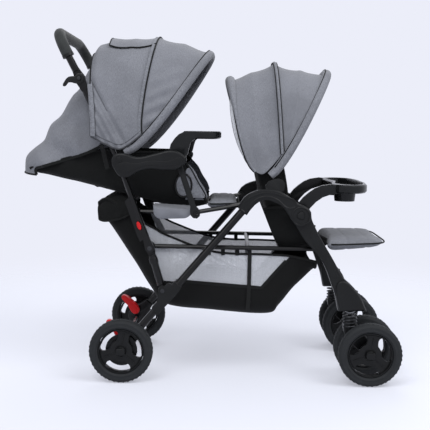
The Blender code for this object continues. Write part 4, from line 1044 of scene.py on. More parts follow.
POUCH = [
    ((-0.318, 0.462), (-0.322, 0.506), 0.168, 6.0),
    ((-0.300, 0.458), (-0.304, 0.528), 0.170, 5.0),
    ((-0.262, 0.464), (-0.262, 0.533), 0.170, 5.0),
    ((-0.236, 0.474), (-0.234, 0.524), 0.169, 6.0),
    ((-0.232, 0.480), (-0.229, 0.502), 0.168, 6.0)]


def edge_line(shape, side, count, out=0.0):
    """The edge of a surface on one side, moved outwards."""
    u = 0.0 if side < 0 else 1.0
    return [shape(u, k / count) + Vector((0, side * out, 0)) for k in range(count + 1)]


def seat_pad(name, shape, u_span, v_span, thick, body, channels, cap=0.008):
    """A crowned pad lying on a shell: closed, swollen by simulation, its seams pressed in after.

    Each channel is the axis it is measured along, its place on that axis and its depth.
    """
    lift = 0.0035

    def closed(u, v):
        around = 2 * math.pi * u
        a = u_span[0] + (u_span[1] - u_span[0]) * (0.5 - 0.5 * math.cos(around) * 0.97)
        b = v_span[0] + (v_span[1] - v_span[0]) * v
        side = shape(min(a + 0.01, 1.0), b) - shape(max(a - 0.01, 0.0), b)
        ahead = shape(a, min(b + 0.01, 1.0)) - shape(a, max(b - 0.01, 0.0))
        up = side.cross(ahead).normalized()
        if up.z < 0:
            up = -up
        return shape(a, b) + up * (lift + thick * (0.5 + 0.5 * math.sin(around)))

    pad = inflated(object_from(name, lofted(closed, 96, 60, closed=True, caps=True)), cap, name)
    for vert in pad.data.vertices:
        for axis, at, depth in channels:
            vert.co.z -= depth * math.exp(-((vert.co[axis] - at) / 0.0035) ** 2)
    pad = piece(name, subdivided(pad), "liner_cloth", body, angle=60)


def leg_rest_pad(name, x0, x1, z0, thick, half, taper, body, cap):
    """A padded board: full in the middle, drawn in at its edges, with a seam round it and two across it."""
    def shape(u, v):
        around = 2 * math.pi * u
        wide = half * (1.0 - 0.24 * max(0.0, (v - 0.72) / 0.28) ** 3) - 0.004
        x = x0 + 0.002 + (x1 - x0 - 0.004) * v
        low = z0 + 0.002 + taper * v
        high = z0 + thick - 0.003
        end = min(1.0, min(v, 1 - v) * (x1 - x0) / 0.010)
        full = 0.35 + 0.65 * math.sin(end * math.pi / 2)
        return Vector((x, -squared(math.cos(around), 0.28) * wide,
                       (low + high) / 2 + squared(math.sin(around), 0.55) * (high - low) / 2 * full))

    pad = inflated(object_from(name, lofted(shape, 72, 40, closed=True, caps=True)), cap, name)
    for vert in pad.data.vertices:
        for share in (0.34, 0.67):
            gap = vert.co.x - (x0 + (x1 - x0) * share)
            press = 0.0022 * math.exp(-(gap / 0.0030) ** 2)
            vert.co.z -= press if vert.co.z > z0 + thick / 2 else -press
    pad = piece(name + "_pad", subdivided(pad), "grey_cloth_plain", body, name, angle=60)
    line = []
    for k in range(72):
        around = 2 * math.pi * k / 72
        x = (x0 + x1) / 2 + squared(math.cos(around), 0.35) * (x1 - x0) / 2
        line.append(Vector((x, squared(math.sin(around), 0.35) * half,
                            z0 + (thick + taper * (x - x0) / (x1 - x0)) / 2 + 0.001)))
    piping(name + "_piping", line, 0.0024, "piping_cloth", body, 8, loop=True)


def side_panel(name, outline, side, y, thick, edge=0.0008):
    """A grey panel sewn on the side of the rear seat's shell."""
    plate = outline_plate(outline, *span(side, y, y + thick), edge=edge, rounds=2)
    piece(name, plate, "grey_cloth_plain", "rear_seat_frame", angle=50)


def rear_seat_details():
    y = REAR_W + 0.0012
    cx, cz = -0.0717, 0.566
    for side_name, side in SIDES:
        side_panel("seat_panel_" + side_name,
                   [(-0.058, 0.618), (-0.050, 0.612), (-0.032, 0.580), (-0.010, 0.544), (-0.007, 0.534),
                    (-0.012, 0.530, "corner"), (-0.058, 0.530, "corner"), (-0.059, 0.560)], side, y, 0.0016)
        side_panel("seat_lining_" + side_name,
                   [(-0.066, 0.628), (-0.046, 0.616), (-0.026, 0.582), (-0.005, 0.546), (-0.003, 0.530),
                    (-0.012, 0.524, "corner"), (-0.066, 0.524, "corner"), (-0.067, 0.560)],
                   side, REAR_W - 0.0048, 0.0014)
        front_edge = eased([(x, side * (y + 0.0012), z) for x, z in
                            ((-0.056, 0.620), (-0.048, 0.611), (-0.030, 0.578), (-0.009, 0.543),
                             (-0.006, 0.531))])
        piping("seat_panel_piping_" + side_name, front_edge, 0.0019, "piping_cloth", "rear_seat_frame", 8)
        oval = [(cx + a, cz + b) for a, b in circle(0.0212, 12, 0.0302 / 0.0212)]
        side_panel("seat_oval_" + side_name, oval, side, y, 0.0012, 0.0005)
        ring = [(cx + a, side * (y + 0.0010), cz + b) for a, b in circle(0.0236, 40, 0.0340 / 0.0236)]
        piping("seat_oval_piping_" + side_name, ring, 0.0030, "gloss_piping", "rear_seat_frame", 12,
               loop=True)

        def flap(u, v, side=side):
            corner = max(0.0, (abs(2 * u - 1) - 0.55) / 0.45)
            low = 0.471 + 0.004 * u + 0.024 * (1 - math.sqrt(max(0.0, 1 - corner ** 2)))
            x, z = -0.156 + 0.112 * u, 0.514 - 0.006 * u
            z += (low - z) * v
            bulge = 0.010 * math.sin(math.pi * v) * math.sin(math.pi * u) ** 0.4
            over = math.sin(math.pi / 2 * min(1.0, v / 0.22))
            return Vector((x, side * (REAR_W - 0.004 + 0.0545 * over + bulge * 0.6
                                      + 0.002 * noise.noise(Vector((x * 40.0, 0, z * 40.0)))), z))

        cloth_piece("under_flap_" + side_name, flap, 36, 20, (-0.07, 0, 0.48), "grey_cloth",
                    "rear_seat_frame", held="hung", rests_on=["rear_seat_frame"])


def harness(prefix, seat_point, shoulder, waist, body):
    """Shoulder, waist and crotch straps that meet in a buckle."""
    bx, bz = seat_point
    for side_name, side in SIDES:
        (tx, ty, tz), (wx, wy, wz) = shoulder, waist
        over = [(tx, side * ty, tz), (tx + 0.030, side * (ty - 0.004), tz - 0.035),
                (bx - 0.050, side * 0.040, bz + 0.060), (bx - 0.010, side * 0.018, bz + 0.018)]
        strap(prefix + "_shoulder_strap_" + side_name, eased(over, 7), 0.022, 0.0016, "webbing", body,
              (0, 1, 0))
        hip = [(wx, side * wy, wz), (wx + 0.022, side * (wy - 0.050), wz + 0.012),
               (bx - 0.004, side * 0.020, bz + 0.012)]
        strap(prefix + "_waist_strap_" + side_name, eased(hip, 7), 0.020, 0.0016, "webbing", body, (0, 0, 1))
    crotch = eased([(bx + 0.030, 0, bz - 0.020), (bx + 0.018, 0, bz - 0.002), (bx + 0.002, 0, bz + 0.008)])
    strap(prefix + "_crotch_strap", crotch, 0.024, 0.0018, "webbing", body, (0, 1, 0))
    buckle = solid_box((bx, 0, bz + 0.012), (0.034, 0.040, 0.012), 0.004, Matrix.Rotation(-0.5, 3, "Y"), 3)
    button = drum(0.010, 0.004, 0.001, 28)
    bmesh.ops.translate(button, verts=button.verts, vec=(bx, 0, bz + 0.019))
    piece(prefix + "_buckle", merged(buckle, button), "plastic", body)


def bound_edges(name, shape, body, count, out=0.0, radius=0.0030):
    """Bindings along both long edges of a shell."""
    for side_name, side in SIDES:
        piping(name + "_" + side_name, edge_line(shape, side, count, out=out), radius, "piping_cloth", body)


def rear_seat(wrinkle):
    shape = over_hoops(hoops(REAR_BUCKET), None, wrinkles(wrinkle * 0.8, 18.0, 0.6, 0.4))
    cloth_piece("rear_bucket", shape, 84, 90, (-0.25, 0, 0.63), "black_cloth", REAR_BEND, "rear_seat",
                "rear_backrest", rests_on=["rear_seat_frame"], inner="liner_cloth", thick=SHELL)
    bound_edges("bucket_binding", shape, REAR_BEND, 72)
    seat_pad("rear_seat_pad", shape, (0.29, 0.71), (0.10, 0.985), 0.016, REAR_BEND,
             [(X, -0.42, 0.004), (X, -0.34, 0.004), (X, -0.26, 0.004), (X, -0.13, 0.006),
              (Y, 0.065, 0.002), (Y, -0.065, 0.002)])
    rear_seat_details()
    harness("rear", (-0.075, 0.520), (-0.330, 0.060, 0.592), (-0.120, 0.140, 0.535), "rear_seat_frame")


def front_seat(wrinkle):
    folds = wrinkles(wrinkle * 0.6, 20.0, 0.6, 0.4)
    shape = over_hoops(hoops(FRONT_BUCKET), None, folds)
    cloth_piece("front_seat_shell", shape, 84, 48, (0.25, 0, 0.46), "black_cloth", "chassis", "front_seat",
                rests_on=["lower_rails"], inner="liner_cloth", thick=SHELL)
    back = hoops(FRONT_BACKREST)
    back_shape = over_hoops(back, None, folds)
    cloth_piece("front_backrest_shell", back_shape, 84, 60, (0.20, 0, 0.58), "black_cloth", "front_backrest",
                "front_backrest", rests_on=["front_seat_shell"], inner="liner_cloth", thick=SHELL)
    bound_edges("front_seat_binding", shape, "chassis", 60)
    bound_edges("front_backrest_binding", back_shape, "front_backrest", 60)
    piping("front_backrest_top_binding", back[-1].path(0, 1, 72), 0.0034, "piping_cloth", "front_backrest")
    seat_pad("front_seat_pad", shape, (0.27, 0.73), (0.10, 0.97), 0.014, "chassis",
             [(X, 0.235, 0.004), (X, 0.300, 0.004)], 0.007)
    seat_pad("front_back_pad", back_shape, (0.27, 0.73), (0.08, 0.97), 0.014, "front_backrest", [], 0.007)
    harness("front", (0.280, 0.404), (0.168, 0.060, 0.640), (0.205, 0.130, 0.415), "chassis")


# Basket

def basket(sag):
    rows = hoops(BASKET)
    soft = wrinkles(sag * 0.6, 14.0, 0.5, 0.5)

    def ruffle(point, u, v):
        floor = math.sin(math.pi * u) ** 3
        middle = math.sin(math.pi * min(max((v - 0.35) / 0.5, 0.0), 1.0))
        return -sag * floor * middle * 0.6 + soft(point, u, v) * 0.5

    shape = over_hoops(rows, None, ruffle)
    cloth_piece("basket_shell", shape, 96, 90, (0.02, 0, 0.33), "basket_cloth", "chassis", "storage_basket",
                held="hung", rests_on=["lower_rails"], thick=0.0018)
    bound_edges("basket_binding", shape, "chassis", 90, 0.0006, 0.0034)
    for side_name, side in SIDES:
        line = [nearest(shape, x, z, side) + Vector((0, side * 0.0008, 0)) for x, z in seam_line()]
        strap("basket_seam_" + side_name, line, 0.0014, 0.010, "piping_cloth", "chassis", (0, 1, 0), 70)
        y = side * (BASKET_W + 0.0024)
        hang = [(0.125, y, 0.392), (0.125, y + side * 0.0004, 0.34), (0.1245, y, 0.28),
                (0.1235, y - side * 0.002, 0.225), (0.122, y - side * 0.014, 0.196)]
        strap("basket_strap_" + side_name, eased(hang), 0.0115, 0.0014, "webbing", "chassis", (1, 0, 0))
        for k, x in enumerate((0.004, 0.046, 0.088)):
            tab = [(x, y - side * 0.001, 0.388), (x, y + side * 0.001, 0.374), (x + 0.001, y, 0.362)]
            strap("basket_hook_%s_%d" % (side_name, k), eased(tab, 4), 0.012, 0.0016, "webbing", "chassis",
                  (1, 0, 0))
    pouch_rows = hoops(POUCH)
    pouch = over_hoops(pouch_rows, None, wrinkles(0.004, 30.0, 0.6, 0.6))
    cloth_piece("basket_pouch", pouch, 84, 30, (-0.27, 0, 0.46), "black_cloth", "chassis",
                rests_on=["basket_shell"], thick=0.0018)
    bound_edges("basket_pouch_binding", pouch, "chassis", 40, 0.0004, 0.0026)
    for name, row, radius in (("basket_pouch_end", pouch_rows[0], 0.0026),
                              ("basket_front_binding", rows[-1], 0.0030),
                              ("basket_rear_binding", rows[0], 0.0030)):
        piping(name, row.path(0, 1, 72), radius, "piping_cloth", "chassis")


def seam_line():
    """The seam between the basket's mesh windows and its cloth, in side view."""
    lower = [(-0.092 + (0.254 * k / 20), 0.283 - 0.017 * k / 20) for k in range(20)]
    return lower + [(0.162 + 0.070 * k / 8, 0.266 + 0.082 * k / 8) for k in range(9)]


# Wheels

def polar(radius, degrees):
    return radius * math.cos(math.radians(degrees)), radius * math.sin(math.radians(degrees))


def rim_mesh():
    """One wheel rim at the origin: lipped ring, three flared spokes, hub and boxed centre caps.

    The web's outline runs to the axis, as windows only cut cleanly from a closed body.
    """
    half = [(0.0, 0.0058), (0.022, 0.0064), (0.046, 0.0050), (0.0580, 0.0052), (0.0600, 0.0080),
            (0.0608, 0.0118), (0.0618, 0.0134), (0.0640, 0.0134), (0.0653, 0.0118)]
    rim = object_from("rim", turned(half + [(r, -y) for r, y in reversed(half)], 72, closed=False))
    for middle in (140, 260, 20):
        window = [polar(0.0590, middle - 37 + 74 * k / 4) for k in range(5)]
        window += [polar(0.0340 if k in (0, 3) else 0.0330, middle + 29 - 58 * k / 3) for k in range(4)]
        rim = less(rim, outline_plate(window, -0.03, 0.03, steps=6))
    hub = [(0.0001, 0.0160), (0.0118, 0.0160), (0.0132, 0.0146), (0.0165, 0.0060)]
    parts = [taken(rounded(rim, 0.0011, 42)),
             turned(hub + [(r, -y) for r, y in reversed(hub)], 48, closed=False)]
    for side in (1.0, -1.0):
        parts.append(solid_box((0, side * 0.0185, 0.0), (0.026, 0.0075, 0.019), 0.0022, None, 3))
        for turn in (80, 200, 320):
            x, z = polar(0.036, turn)
            parts.append(solid_box((x, side * 0.0068, z), (0.030, 0.0022, 0.0030), 0.0009,
                                   Matrix.Rotation(-math.radians(turn), 3, "Y")))
    return merged(*parts)


def tyre_mesh(count):
    """A foamed tyre with slanted tread bars in two rows of a count each."""
    half = [(0.0914, 0.0), (0.0913, 0.0060), (0.0905, 0.0105), (0.0886, 0.0140), (0.0850, 0.0166),
            (0.0832, 0.0171), (0.0824, 0.0178), (0.0814, 0.0175), (0.0770, 0.0178), (0.0728, 0.0175),
            (0.0718, 0.0180), (0.0708, 0.0168), (0.0690, 0.0160), (0.0662, 0.0132)]
    body = turned(half + [(r, -y) for r, y in reversed(half[1:])])
    bars = bmesh.new()
    for row in (1.0, -1.0):
        for k in range(count):
            angle = 2 * math.pi * (k + (0.5 if row > 0 else 0.0)) / count
            made = bmesh.ops.create_cube(bars, size=1.0)["verts"]
            bmesh.ops.scale(bars, verts=made, vec=(0.0062, 0.0098, 0.0036))
            edges = list({e for v in made for e in v.link_edges if all(w.co.z > 0 for w in e.verts)})
            cut = bmesh.ops.bevel(bars, geom=edges, offset=0.0009, affect="EDGES", segments=1, profile=0.5,
                                  material=-1)
            verts = list({v for f in cut["faces"] for v in f.verts} | {v for v in made if v.is_valid})
            bmesh.ops.rotate(bars, verts=verts, cent=(0, 0, 0), matrix=Matrix.Rotation(row * 0.62, 3, "Z"))
            bmesh.ops.translate(bars, verts=verts, vec=(0, row * 0.0062, 0.0900))
            bmesh.ops.rotate(bars, verts=verts, cent=(0, 0, 0), matrix=Matrix.Rotation(angle, 3, "Y"))
    return merged(body, bars)


def placed(mesh, x, y, z, side):
    """A copy of a wheel's mesh on one side of the stroller, mirrored on the right."""
    bm = bmesh.new()
    bm.from_mesh(mesh)
    if side < 0:
        bmesh.ops.scale(bm, verts=bm.verts, vec=(1, -1, 1))
        bmesh.ops.reverse_faces(bm, faces=bm.faces)
    bmesh.ops.translate(bm, verts=bm.verts, vec=(x, side * y, z))
    return bm


def brake_ring(side):
    """The toothed ring beside a rear wheel."""
    x, z = REAR_AXLE
    ring = turned([(0.021, 0.0012), (0.046, 0.0012), (0.046, -0.0012), (0.021, -0.0012)], 64)
    bmesh.ops.translate(ring, verts=ring.verts, vec=(x, side * BRAKE_Y, z))
    low, high = span(side, BRAKE_Y - 0.0015, BRAKE_Y + 0.0015)
    return merged(ring, *(disc(x + a, z + b, low, high, 0.0028, 12, 0.0005) for a, b in circle(0.036, 16)))


def wheels(bars):
    rim = mesh_of("rim_shape", rim_mesh())
    tyre = mesh_of("tyre_shape", tyre_mesh(bars))
    (rx, rz), (fx, fz) = REAR_AXLE, FRONT_AXLE
    for side_name, side in SIDES:
        rear, front = "rear_wheel_" + side_name, "front_wheels_" + side_name
        piece("wheel_rim_rear_" + side_name, placed(rim, rx, WHEEL_Y, rz, side), "rim_plastic", rear,
              "rear_rim_" + side_name)
        piece("tyre_rear_" + side_name, placed(tyre, rx, WHEEL_Y, rz, side), "tyre", rear,
              "rear_tyre_" + side_name)
        piece("brake_ring_" + side_name, brake_ring(side), "rim_plastic", rear)
        shaft = disc(fx, fz, *span(side, INNER_WHEEL_Y + 0.002, WHEEL_Y - 0.002), 0.0059, 24)
        pair = merged(placed(rim, fx, WHEEL_Y, fz, side), placed(rim, fx, INNER_WHEEL_Y, fz, side), shaft)
        piece("wheel_rims_front_" + side_name, pair, "rim_plastic", front, "front_rims_" + side_name)
        for place, y in (("outer", WHEEL_Y), ("inner", INNER_WHEEL_Y)):
            piece("tyre_front_%s_%s" % (place, side_name), placed(tyre, fx, y, fz, side), "tyre", front,
                  "front_tyre_%s_%s" % (place, side_name))


# Frame, mouldings and handle

def carried_over():
    """Gives every frame part that stays its own finish."""
    finish_of = {"rear_axle": "steel", "push_handle": "tube", "lower_rails": "tube",
                 "rear_seat_frame": "tube", "front_cross_tube": "tube", "handle_grip": "foam"}
    for name, node in NODES.items():
        if name.startswith(("rear_leg_l", "rear_leg_r", "lower_link", "upright")) and name != "rear_leg_rest":
            finish = "tube"
        elif name.startswith(("brake_pedal", "fold_button")):
            finish = "red"
        elif name.startswith("caster_spring"):
            finish = "steel"
        else:
            finish = finish_of.get(name, "plastic")
        for slot in node.material_slots:
            slot.material = FINISHES[finish].material


def slim_lock(mesh):
    """Draws the fold lock's housing in towards its tube."""
    (kx, kz), (hx, hz) = KNEE, HANDLE_HINGE
    length = math.hypot(hx - kx, hz - kz)
    ax, az = (hx - kx) / length, (hz - kz) / length
    for vert in mesh.data.vertices:
        x, z = vert.co.x - kx, vert.co.z - kz
        along, off = x * ax + z * az, x * az - z * ax
        if 0.018 < along < 0.30 and abs(off) > 0.0100:
            keep = 0.0100 + (abs(off) - 0.0100) * 0.45
            vert.co.x += (math.copysign(keep, off) - off) * az
            vert.co.z -= (math.copysign(keep, off) - off) * ax


def smooth_parts():
    """Frame parts kept in shape, with their hard edges softened."""
    for side_name, _ in SIDES:
        for node, body, finish, edge in (
                ("rear_leg_" + side_name, "chassis", "tube", 0.0014),
                ("y_bracket_" + side_name, "chassis", "plastic", 0.0012),
                ("lower_link_" + side_name, "lower_links", "tube", 0.0010),
                ("caster_head_" + side_name, "caster_" + side_name, "plastic", 0.0010),
                ("caster_fork_" + side_name, "fork_" + side_name, "plastic", 0.0018)):
            softened(node, edge, finish, body)
        upright = refined("upright_" + side_name, 0.0010)
        slim_lock(upright)
        piece("upright_%s_soft" % side_name, upright, "tube", "uprights", "upright_" + side_name)
    softened("push_handle", 0.0008, "tube", "push_handle")


def arches():
    """The arches over the front seat, each with a sunk panel, a joint ring and a button."""
    jx, jz = FRONT_JOINT
    fx, fz = ARCH_FOOT
    length = math.hypot(fx - REAR_AXLE[0], fz - REAR_AXLE[1])
    along = ((fx - REAR_AXLE[0]) / length, (fz - REAR_AXLE[1]) / length)
    face = 0.2255

    def collar(off):
        return (fx - along[1] * off, fz + along[0] * off)

    panel = [(*collar(-0.0105), "corner"), (*collar(0.0105), "corner"), (fx + 0.010, fz + 0.034),
             (fx + 0.036, fz + 0.050), (fx + 0.070, fz + 0.057), (fx + 0.106, fz + 0.051),
             (jx - 0.012, jz + 0.030), (jx - 0.034, jz + 0.018), (fx + 0.094, fz + 0.036),
             (fx + 0.060, fz + 0.041), (fx + 0.034, fz + 0.028)]
    rim = [(0.0235, 0.0), (0.0275, 0.0), (0.0275, 0.0016), (0.0262, 0.0026), (0.0246, 0.0026),
           (0.0235, 0.0016)]
    for side_name, side in SIDES:
        softened("front_arch_" + side_name, 0.0022, "plastic", "chassis", "arch_" + side_name)
        plate = outline_plate(panel, *span(side, face - 0.0010, face + 0.0014), edge=0.0008)
        piece("arch_panel_" + side_name, face_panel(plate, side, 0.0026, 0.0012), "plastic", "chassis")
        ring = turned([(r, side * y) for r, y in rim], 72)
        bmesh.ops.translate(ring, verts=ring.verts, vec=(jx, side * (face - 0.0006), jz - 0.002))
        piece("joint_ring_" + side_name, ring, "plastic", "chassis")
        softened("arch_button_" + side_name, 0.0014, "plastic", "arch_button_" + side_name,
                 "arch_button_soft_" + side_name)


def bored(mesh, side):
    """Cuts the caster's bore into the lower end of a front leg."""
    tool = bmesh.new()
    bmesh.ops.create_cone(tool, cap_ends=True, segments=48, radius1=0.0224, radius2=0.0224, depth=0.080)
    bmesh.ops.translate(tool, verts=tool.verts, vec=(CASTER_X, side * CASTER_Y, 0.2295))
    return taken(less(object_from("leg", mesh), tool))


def front_legs():
    """The front legs: a blade that widens to a socket round the caster, with a raised panel."""
    jx, jz = FRONT_JOINT
    blade = [(jx - 0.022, jz + 0.010), (jx, jz + 0.026), (jx + 0.024, jz + 0.012), (jx + 0.036, jz - 0.020),
             (0.370, 0.352), (0.396, 0.308), (0.422, 0.284), (0.445, 0.257), (0.461, 0.224),
             (0.4670, 0.2110, "corner"), (0.3840, 0.2095, "corner"), (0.373, 0.258), (0.362, 0.288),
             (0.335, 0.351), (jx - 0.002, jz - 0.050)]
    socket = [(0.382, 0.296), (0.402, 0.298), (0.421, 0.282), (0.443, 0.256), (0.459, 0.224),
              (0.4645, 0.2115, "corner"), (0.3862, 0.2100, "corner"), (0.376, 0.258)]
    panel = [(0.300, 0.440), (0.316, 0.428), (0.352, 0.360), (0.372, 0.326), (0.378, 0.312),
             (0.368, 0.306), (0.342, 0.356), (0.304, 0.412)]
    for side_name, side in SIDES:
        parts = [bored(outline_plate(outline, *span(side, inner, outer), edge=edge, steps=10, rounds=4), side)
                 for outline, inner, outer, edge in ((blade, 0.180, 0.2125, 0.0050),
                                                     (socket, 0.1715, 0.2190, 0.0060))]
        piece("leg_blade_" + side_name, merged(*parts), "plastic", "front_legs", "front_leg_" + side_name)
        raised = outline_plate(panel, *span(side, 0.2122, 0.2134), edge=0.0006, steps=10)
        piece("leg_panel_" + side_name, raised, "plastic", "front_legs")


def armrests():
    """Armrests with their hinge and pin, the line and cap on their outer faces, and their struts."""
    outline = [(-0.271, 0.640), (-0.262, 0.656), (-0.240, 0.660), (-0.200, 0.650), (-0.150, 0.660),
               (-0.102, 0.670), (-0.072, 0.660), (-0.060, 0.645), (-0.078, 0.622), (-0.120, 0.615),
               (-0.165, 0.617), (-0.197, 0.608), (-0.226, 0.592), (-0.246, 0.594), (-0.262, 0.612)]
    contour = [(-0.258, 0.622), (-0.242, 0.608), (-0.226, 0.606), (-0.200, 0.618), (-0.165, 0.627),
               (-0.120, 0.625), (-0.086, 0.631), (-0.071, 0.645), (-0.080, 0.650), (-0.110, 0.640),
               (-0.160, 0.640), (-0.205, 0.632), (-0.236, 0.634)]
    inner, outer = 0.231, 0.258
    face = outer - 0.0008
    hx, hz = ARMREST_HINGE
    for side_name, side in SIDES:
        body = outline_plate(outline, *span(side, inner, outer), edge=0.0065, steps=12, rounds=5)
        boss = disc(hx, hz, *span(side, 0.2233, inner + 0.004), 0.021, 40)
        pin = disc(*ARMREST_PIN, *span(side, 0.183, inner + 0.004), 0.005, 20, 0.0008)
        piece("armrest_" + side_name, merged(body, boss, pin), "plastic", "armrests",
              "rear_armrest_" + side_name)
        line = outline_plate(contour, *span(side, face, face + 0.0020), edge=0.0009, steps=10)
        piece("armrest_contour_" + side_name, line, "plastic", "armrests")
        cap = disc(hx + 0.001, hz + 0.014, *span(side, face, face + 0.0028), 0.0075, 28, 0.0009)
        piece("armrest_cap_" + side_name, cap, "plastic", "armrests")
        softened("armrest_strut_" + side_name, 0.0010, "plastic", "armrest_struts", "strut_" + side_name)


def trays():
    for side_name, edge in (("rear", 0.0028), ("front", 0.0024)):
        node = side_name + "_tray"
        softened(node, edge, "gloss_plastic", node, "tray_%s_soft" % side_name)


def handle():
    """The foam grip along the handle's bow, with its end collars, levers and rivets."""
    hx, hz = HANDLE_HINGE
    tx, tz = HANDLE_TOP
    length = math.hypot(tx - hx, tz - hz)
    start, corner = 0.0722, 0.070

    def on_handle(distance, y):
        return Vector((hx + (tx - hx) * distance / length, y, hz + (tz - hz) * distance / length))

    half = [on_handle(start + (length - corner - start) * k / 6, -TUBE_Y) for k in range(7)]
    along = (on_handle(length, 0) - on_handle(0, 0)).normalized()
    for k in range(1, 17):
        a = math.pi / 2 * k / 16
        half.append(on_handle(length - corner, -TUBE_Y) + along * corner * math.sin(a)
                    + Vector((0, corner * (1 - math.cos(a)), 0)))
    other = [Vector((p.x, -p.y, p.z)) for p in reversed(half)]
    bar = [half[-1].lerp(other[0], k / 16) for k in range(1, 16)]
    piece("grip_foam", swept(spaced(half + bar + other, 150), circle(0.0162, 22)), "foam", "push_handle",
          "handle_grip", angle=60)
    for side_name, side in SIDES:
        a, b = on_handle(0.0690, side * TUBE_Y), on_handle(0.0770, side * TUBE_Y)
        piece("grip_collar_" + side_name, swept([a.lerp(b, k / 4) for k in range(5)], circle(0.0170, 24)),
              "plastic", "push_handle", angle=40)
        softened("handle_lever_" + side_name, 0.0011, "plastic", "handle_levers", "lever_" + side_name)
        piece("handle_rivet_" + side_name, screw_head(hx, hz, 0.2330, side, 0.0050), "steel_dark", "uprights")


def fork_coils():
    """The outer coil of each caster's spring, seen between the leg's socket and the wheels."""
    low, high, radius, turns, steps = 0.158, 0.206, 0.0198, 5, 20
    for side_name, side in SIDES:
        y = side * CASTER_Y
        line = []
        for k in range(turns * steps + 1):
            t = 2 * math.pi * k / steps
            line.append((CASTER_X + radius * math.cos(t), y + radius * math.sin(t),
                         low + (high - low) * k / (turns * steps)))
        piece("fork_coil_" + side_name, swept(line, circle(0.0021, 10)), "steel_dark",
              ("caster_" + side_name, "fork_" + side_name, (CASTER_X, y, high), (CASTER_X, y, low)))


def pedals():
    for side_name, _ in SIDES:
        softened("brake_pedal_" + side_name, 0.0016, "red", "brake_" + side_name, "pedal_" + side_name)
        softened("fold_button_" + side_name, 0.0009, "red", "fold_button_" + side_name,
                 "fold_button_soft_" + side_name)


def screws():
    """Rivets and screws at the joints."""
    for name, (x, z), y, body, radius in (("knee", KNEE, 0.2232, "uprights", 0.0065),
                                          ("link", LINK_FOOT, 0.2266, "chassis", 0.0060),
                                          ("strut", STRUT_FOOT, 0.2300, "rear_seat_frame", 0.0050)):
        for side_name, side in SIDES:
            piece("%s_screw_%s" % (name, side_name), screw_head(x, z, y, side, radius), "steel_dark", body)


def leg_rests():
    leg_rest_pad("rear_leg_rest", -0.002, 0.092, 0.497, 0.026, 0.158, 0.008, "rear_leg_rest", 0.005)
    leg_rest_pad("front_leg_rest", 0.352, 0.530, 0.376, 0.037, 0.160, 0.018, "front_leg_rest", 0.006)


# Stage

def stage(floor_colour):
    """Pale floor and backdrop, soft lamps and the camera at the photograph's angle."""
    stage_floor(floor_colour)
    backdrop()
    for name, place, size, power in (("lamp_key", (-1.0, -2.7, 3.5), 2.6, 78.0),
                                     ("lamp_front", (2.2, -1.6, 3.0), 2.2, 56.0),
                                     ("lamp_back", (0.4, 2.8, 3.0), 2.8, 46.0)):
        lamp = bpy.data.lights.new(name, "AREA")
        lamp.shape = "DISK"
        lamp.size = size
        lamp.energy = power
        holder = bpy.data.objects.new(name, lamp)
        holder.location = place
        holder.rotation_euler = (Vector((0, 0, 0.45)) - Vector(place)).to_track_quat("-Z", "Y").to_euler()
        bpy.context.scene.collection.objects.link(holder)
    camera()
    bpy.context.scene.view_settings.view_transform = "Standard"


def stage_floor(colour):
    """A matt floor that fades into the backdrop away from the middle."""
    material = bpy.data.materials.new("stage_pale")
    material.use_nodes = True
    nodes, links = material.node_tree.nodes, material.node_tree.links
    shader = nodes["Principled BSDF"]
    radius = nodes.new("ShaderNodeVectorMath")
    radius.operation = "LENGTH"
    fade = nodes.new("ShaderNodeMapRange")
    fade.interpolation_type = "SMOOTHSTEP"
    for node, socket, value in ((shader, "Base Color", (*colour, 1.0)), (shader, "Roughness", 0.9),
                                (shader, "Specular IOR Level", 0.0), (fade, "From Min", 0.75),
                                (fade, "From Max", 2.6), (fade, "To Min", 0.62), (fade, "To Max", 0.0)):
        node.inputs[socket].default_value = value
    links.new(nodes.new("ShaderNodeNewGeometry").outputs["Position"], radius.inputs[0])
    links.new(radius.outputs["Value"], fade.inputs["Value"])
    links.new(fade.outputs["Result"], shader.inputs["Alpha"])
    bm = bmesh.new()
    bmesh.ops.create_grid(bm, x_segments=2, y_segments=2, size=14.0)
    floor = object_from("stage_floor", bm)
    floor.data.materials.append(material)


def backdrop():
    """One pale colour where the world is seen, and a softer light from it everywhere else."""
    world = bpy.data.worlds.new("stage_world")
    bpy.context.scene.world = world
    world.use_nodes = True
    nodes, links = world.node_tree.nodes, world.node_tree.links
    light, seen = nodes["Background"], nodes.new("ShaderNodeBackground")
    for node, colour, strength in ((light, (0.94, 0.95, 1.0), 0.62), (seen, tone(236, 238, 249), 1.0)):
        node.inputs["Color"].default_value = (*colour, 1.0)
        node.inputs["Strength"].default_value = strength
    rays = nodes.new("ShaderNodeLightPath").outputs
    share = rays["Is Camera Ray"]
    for ray in ("Is Glossy Ray", "Is Transmission Ray"):
        either = nodes.new("ShaderNodeMath")
        either.operation = "MAXIMUM"
        links.new(share, either.inputs[0])
        links.new(rays[ray], either.inputs[1])
        share = either.outputs[0]
    mix = nodes.new("ShaderNodeMixShader")
    for k, output in enumerate((share, light.outputs[0], seen.outputs[0])):
        links.new(output, mix.inputs[k])
    links.new(mix.outputs[0], nodes["World Output"].inputs["Surface"])


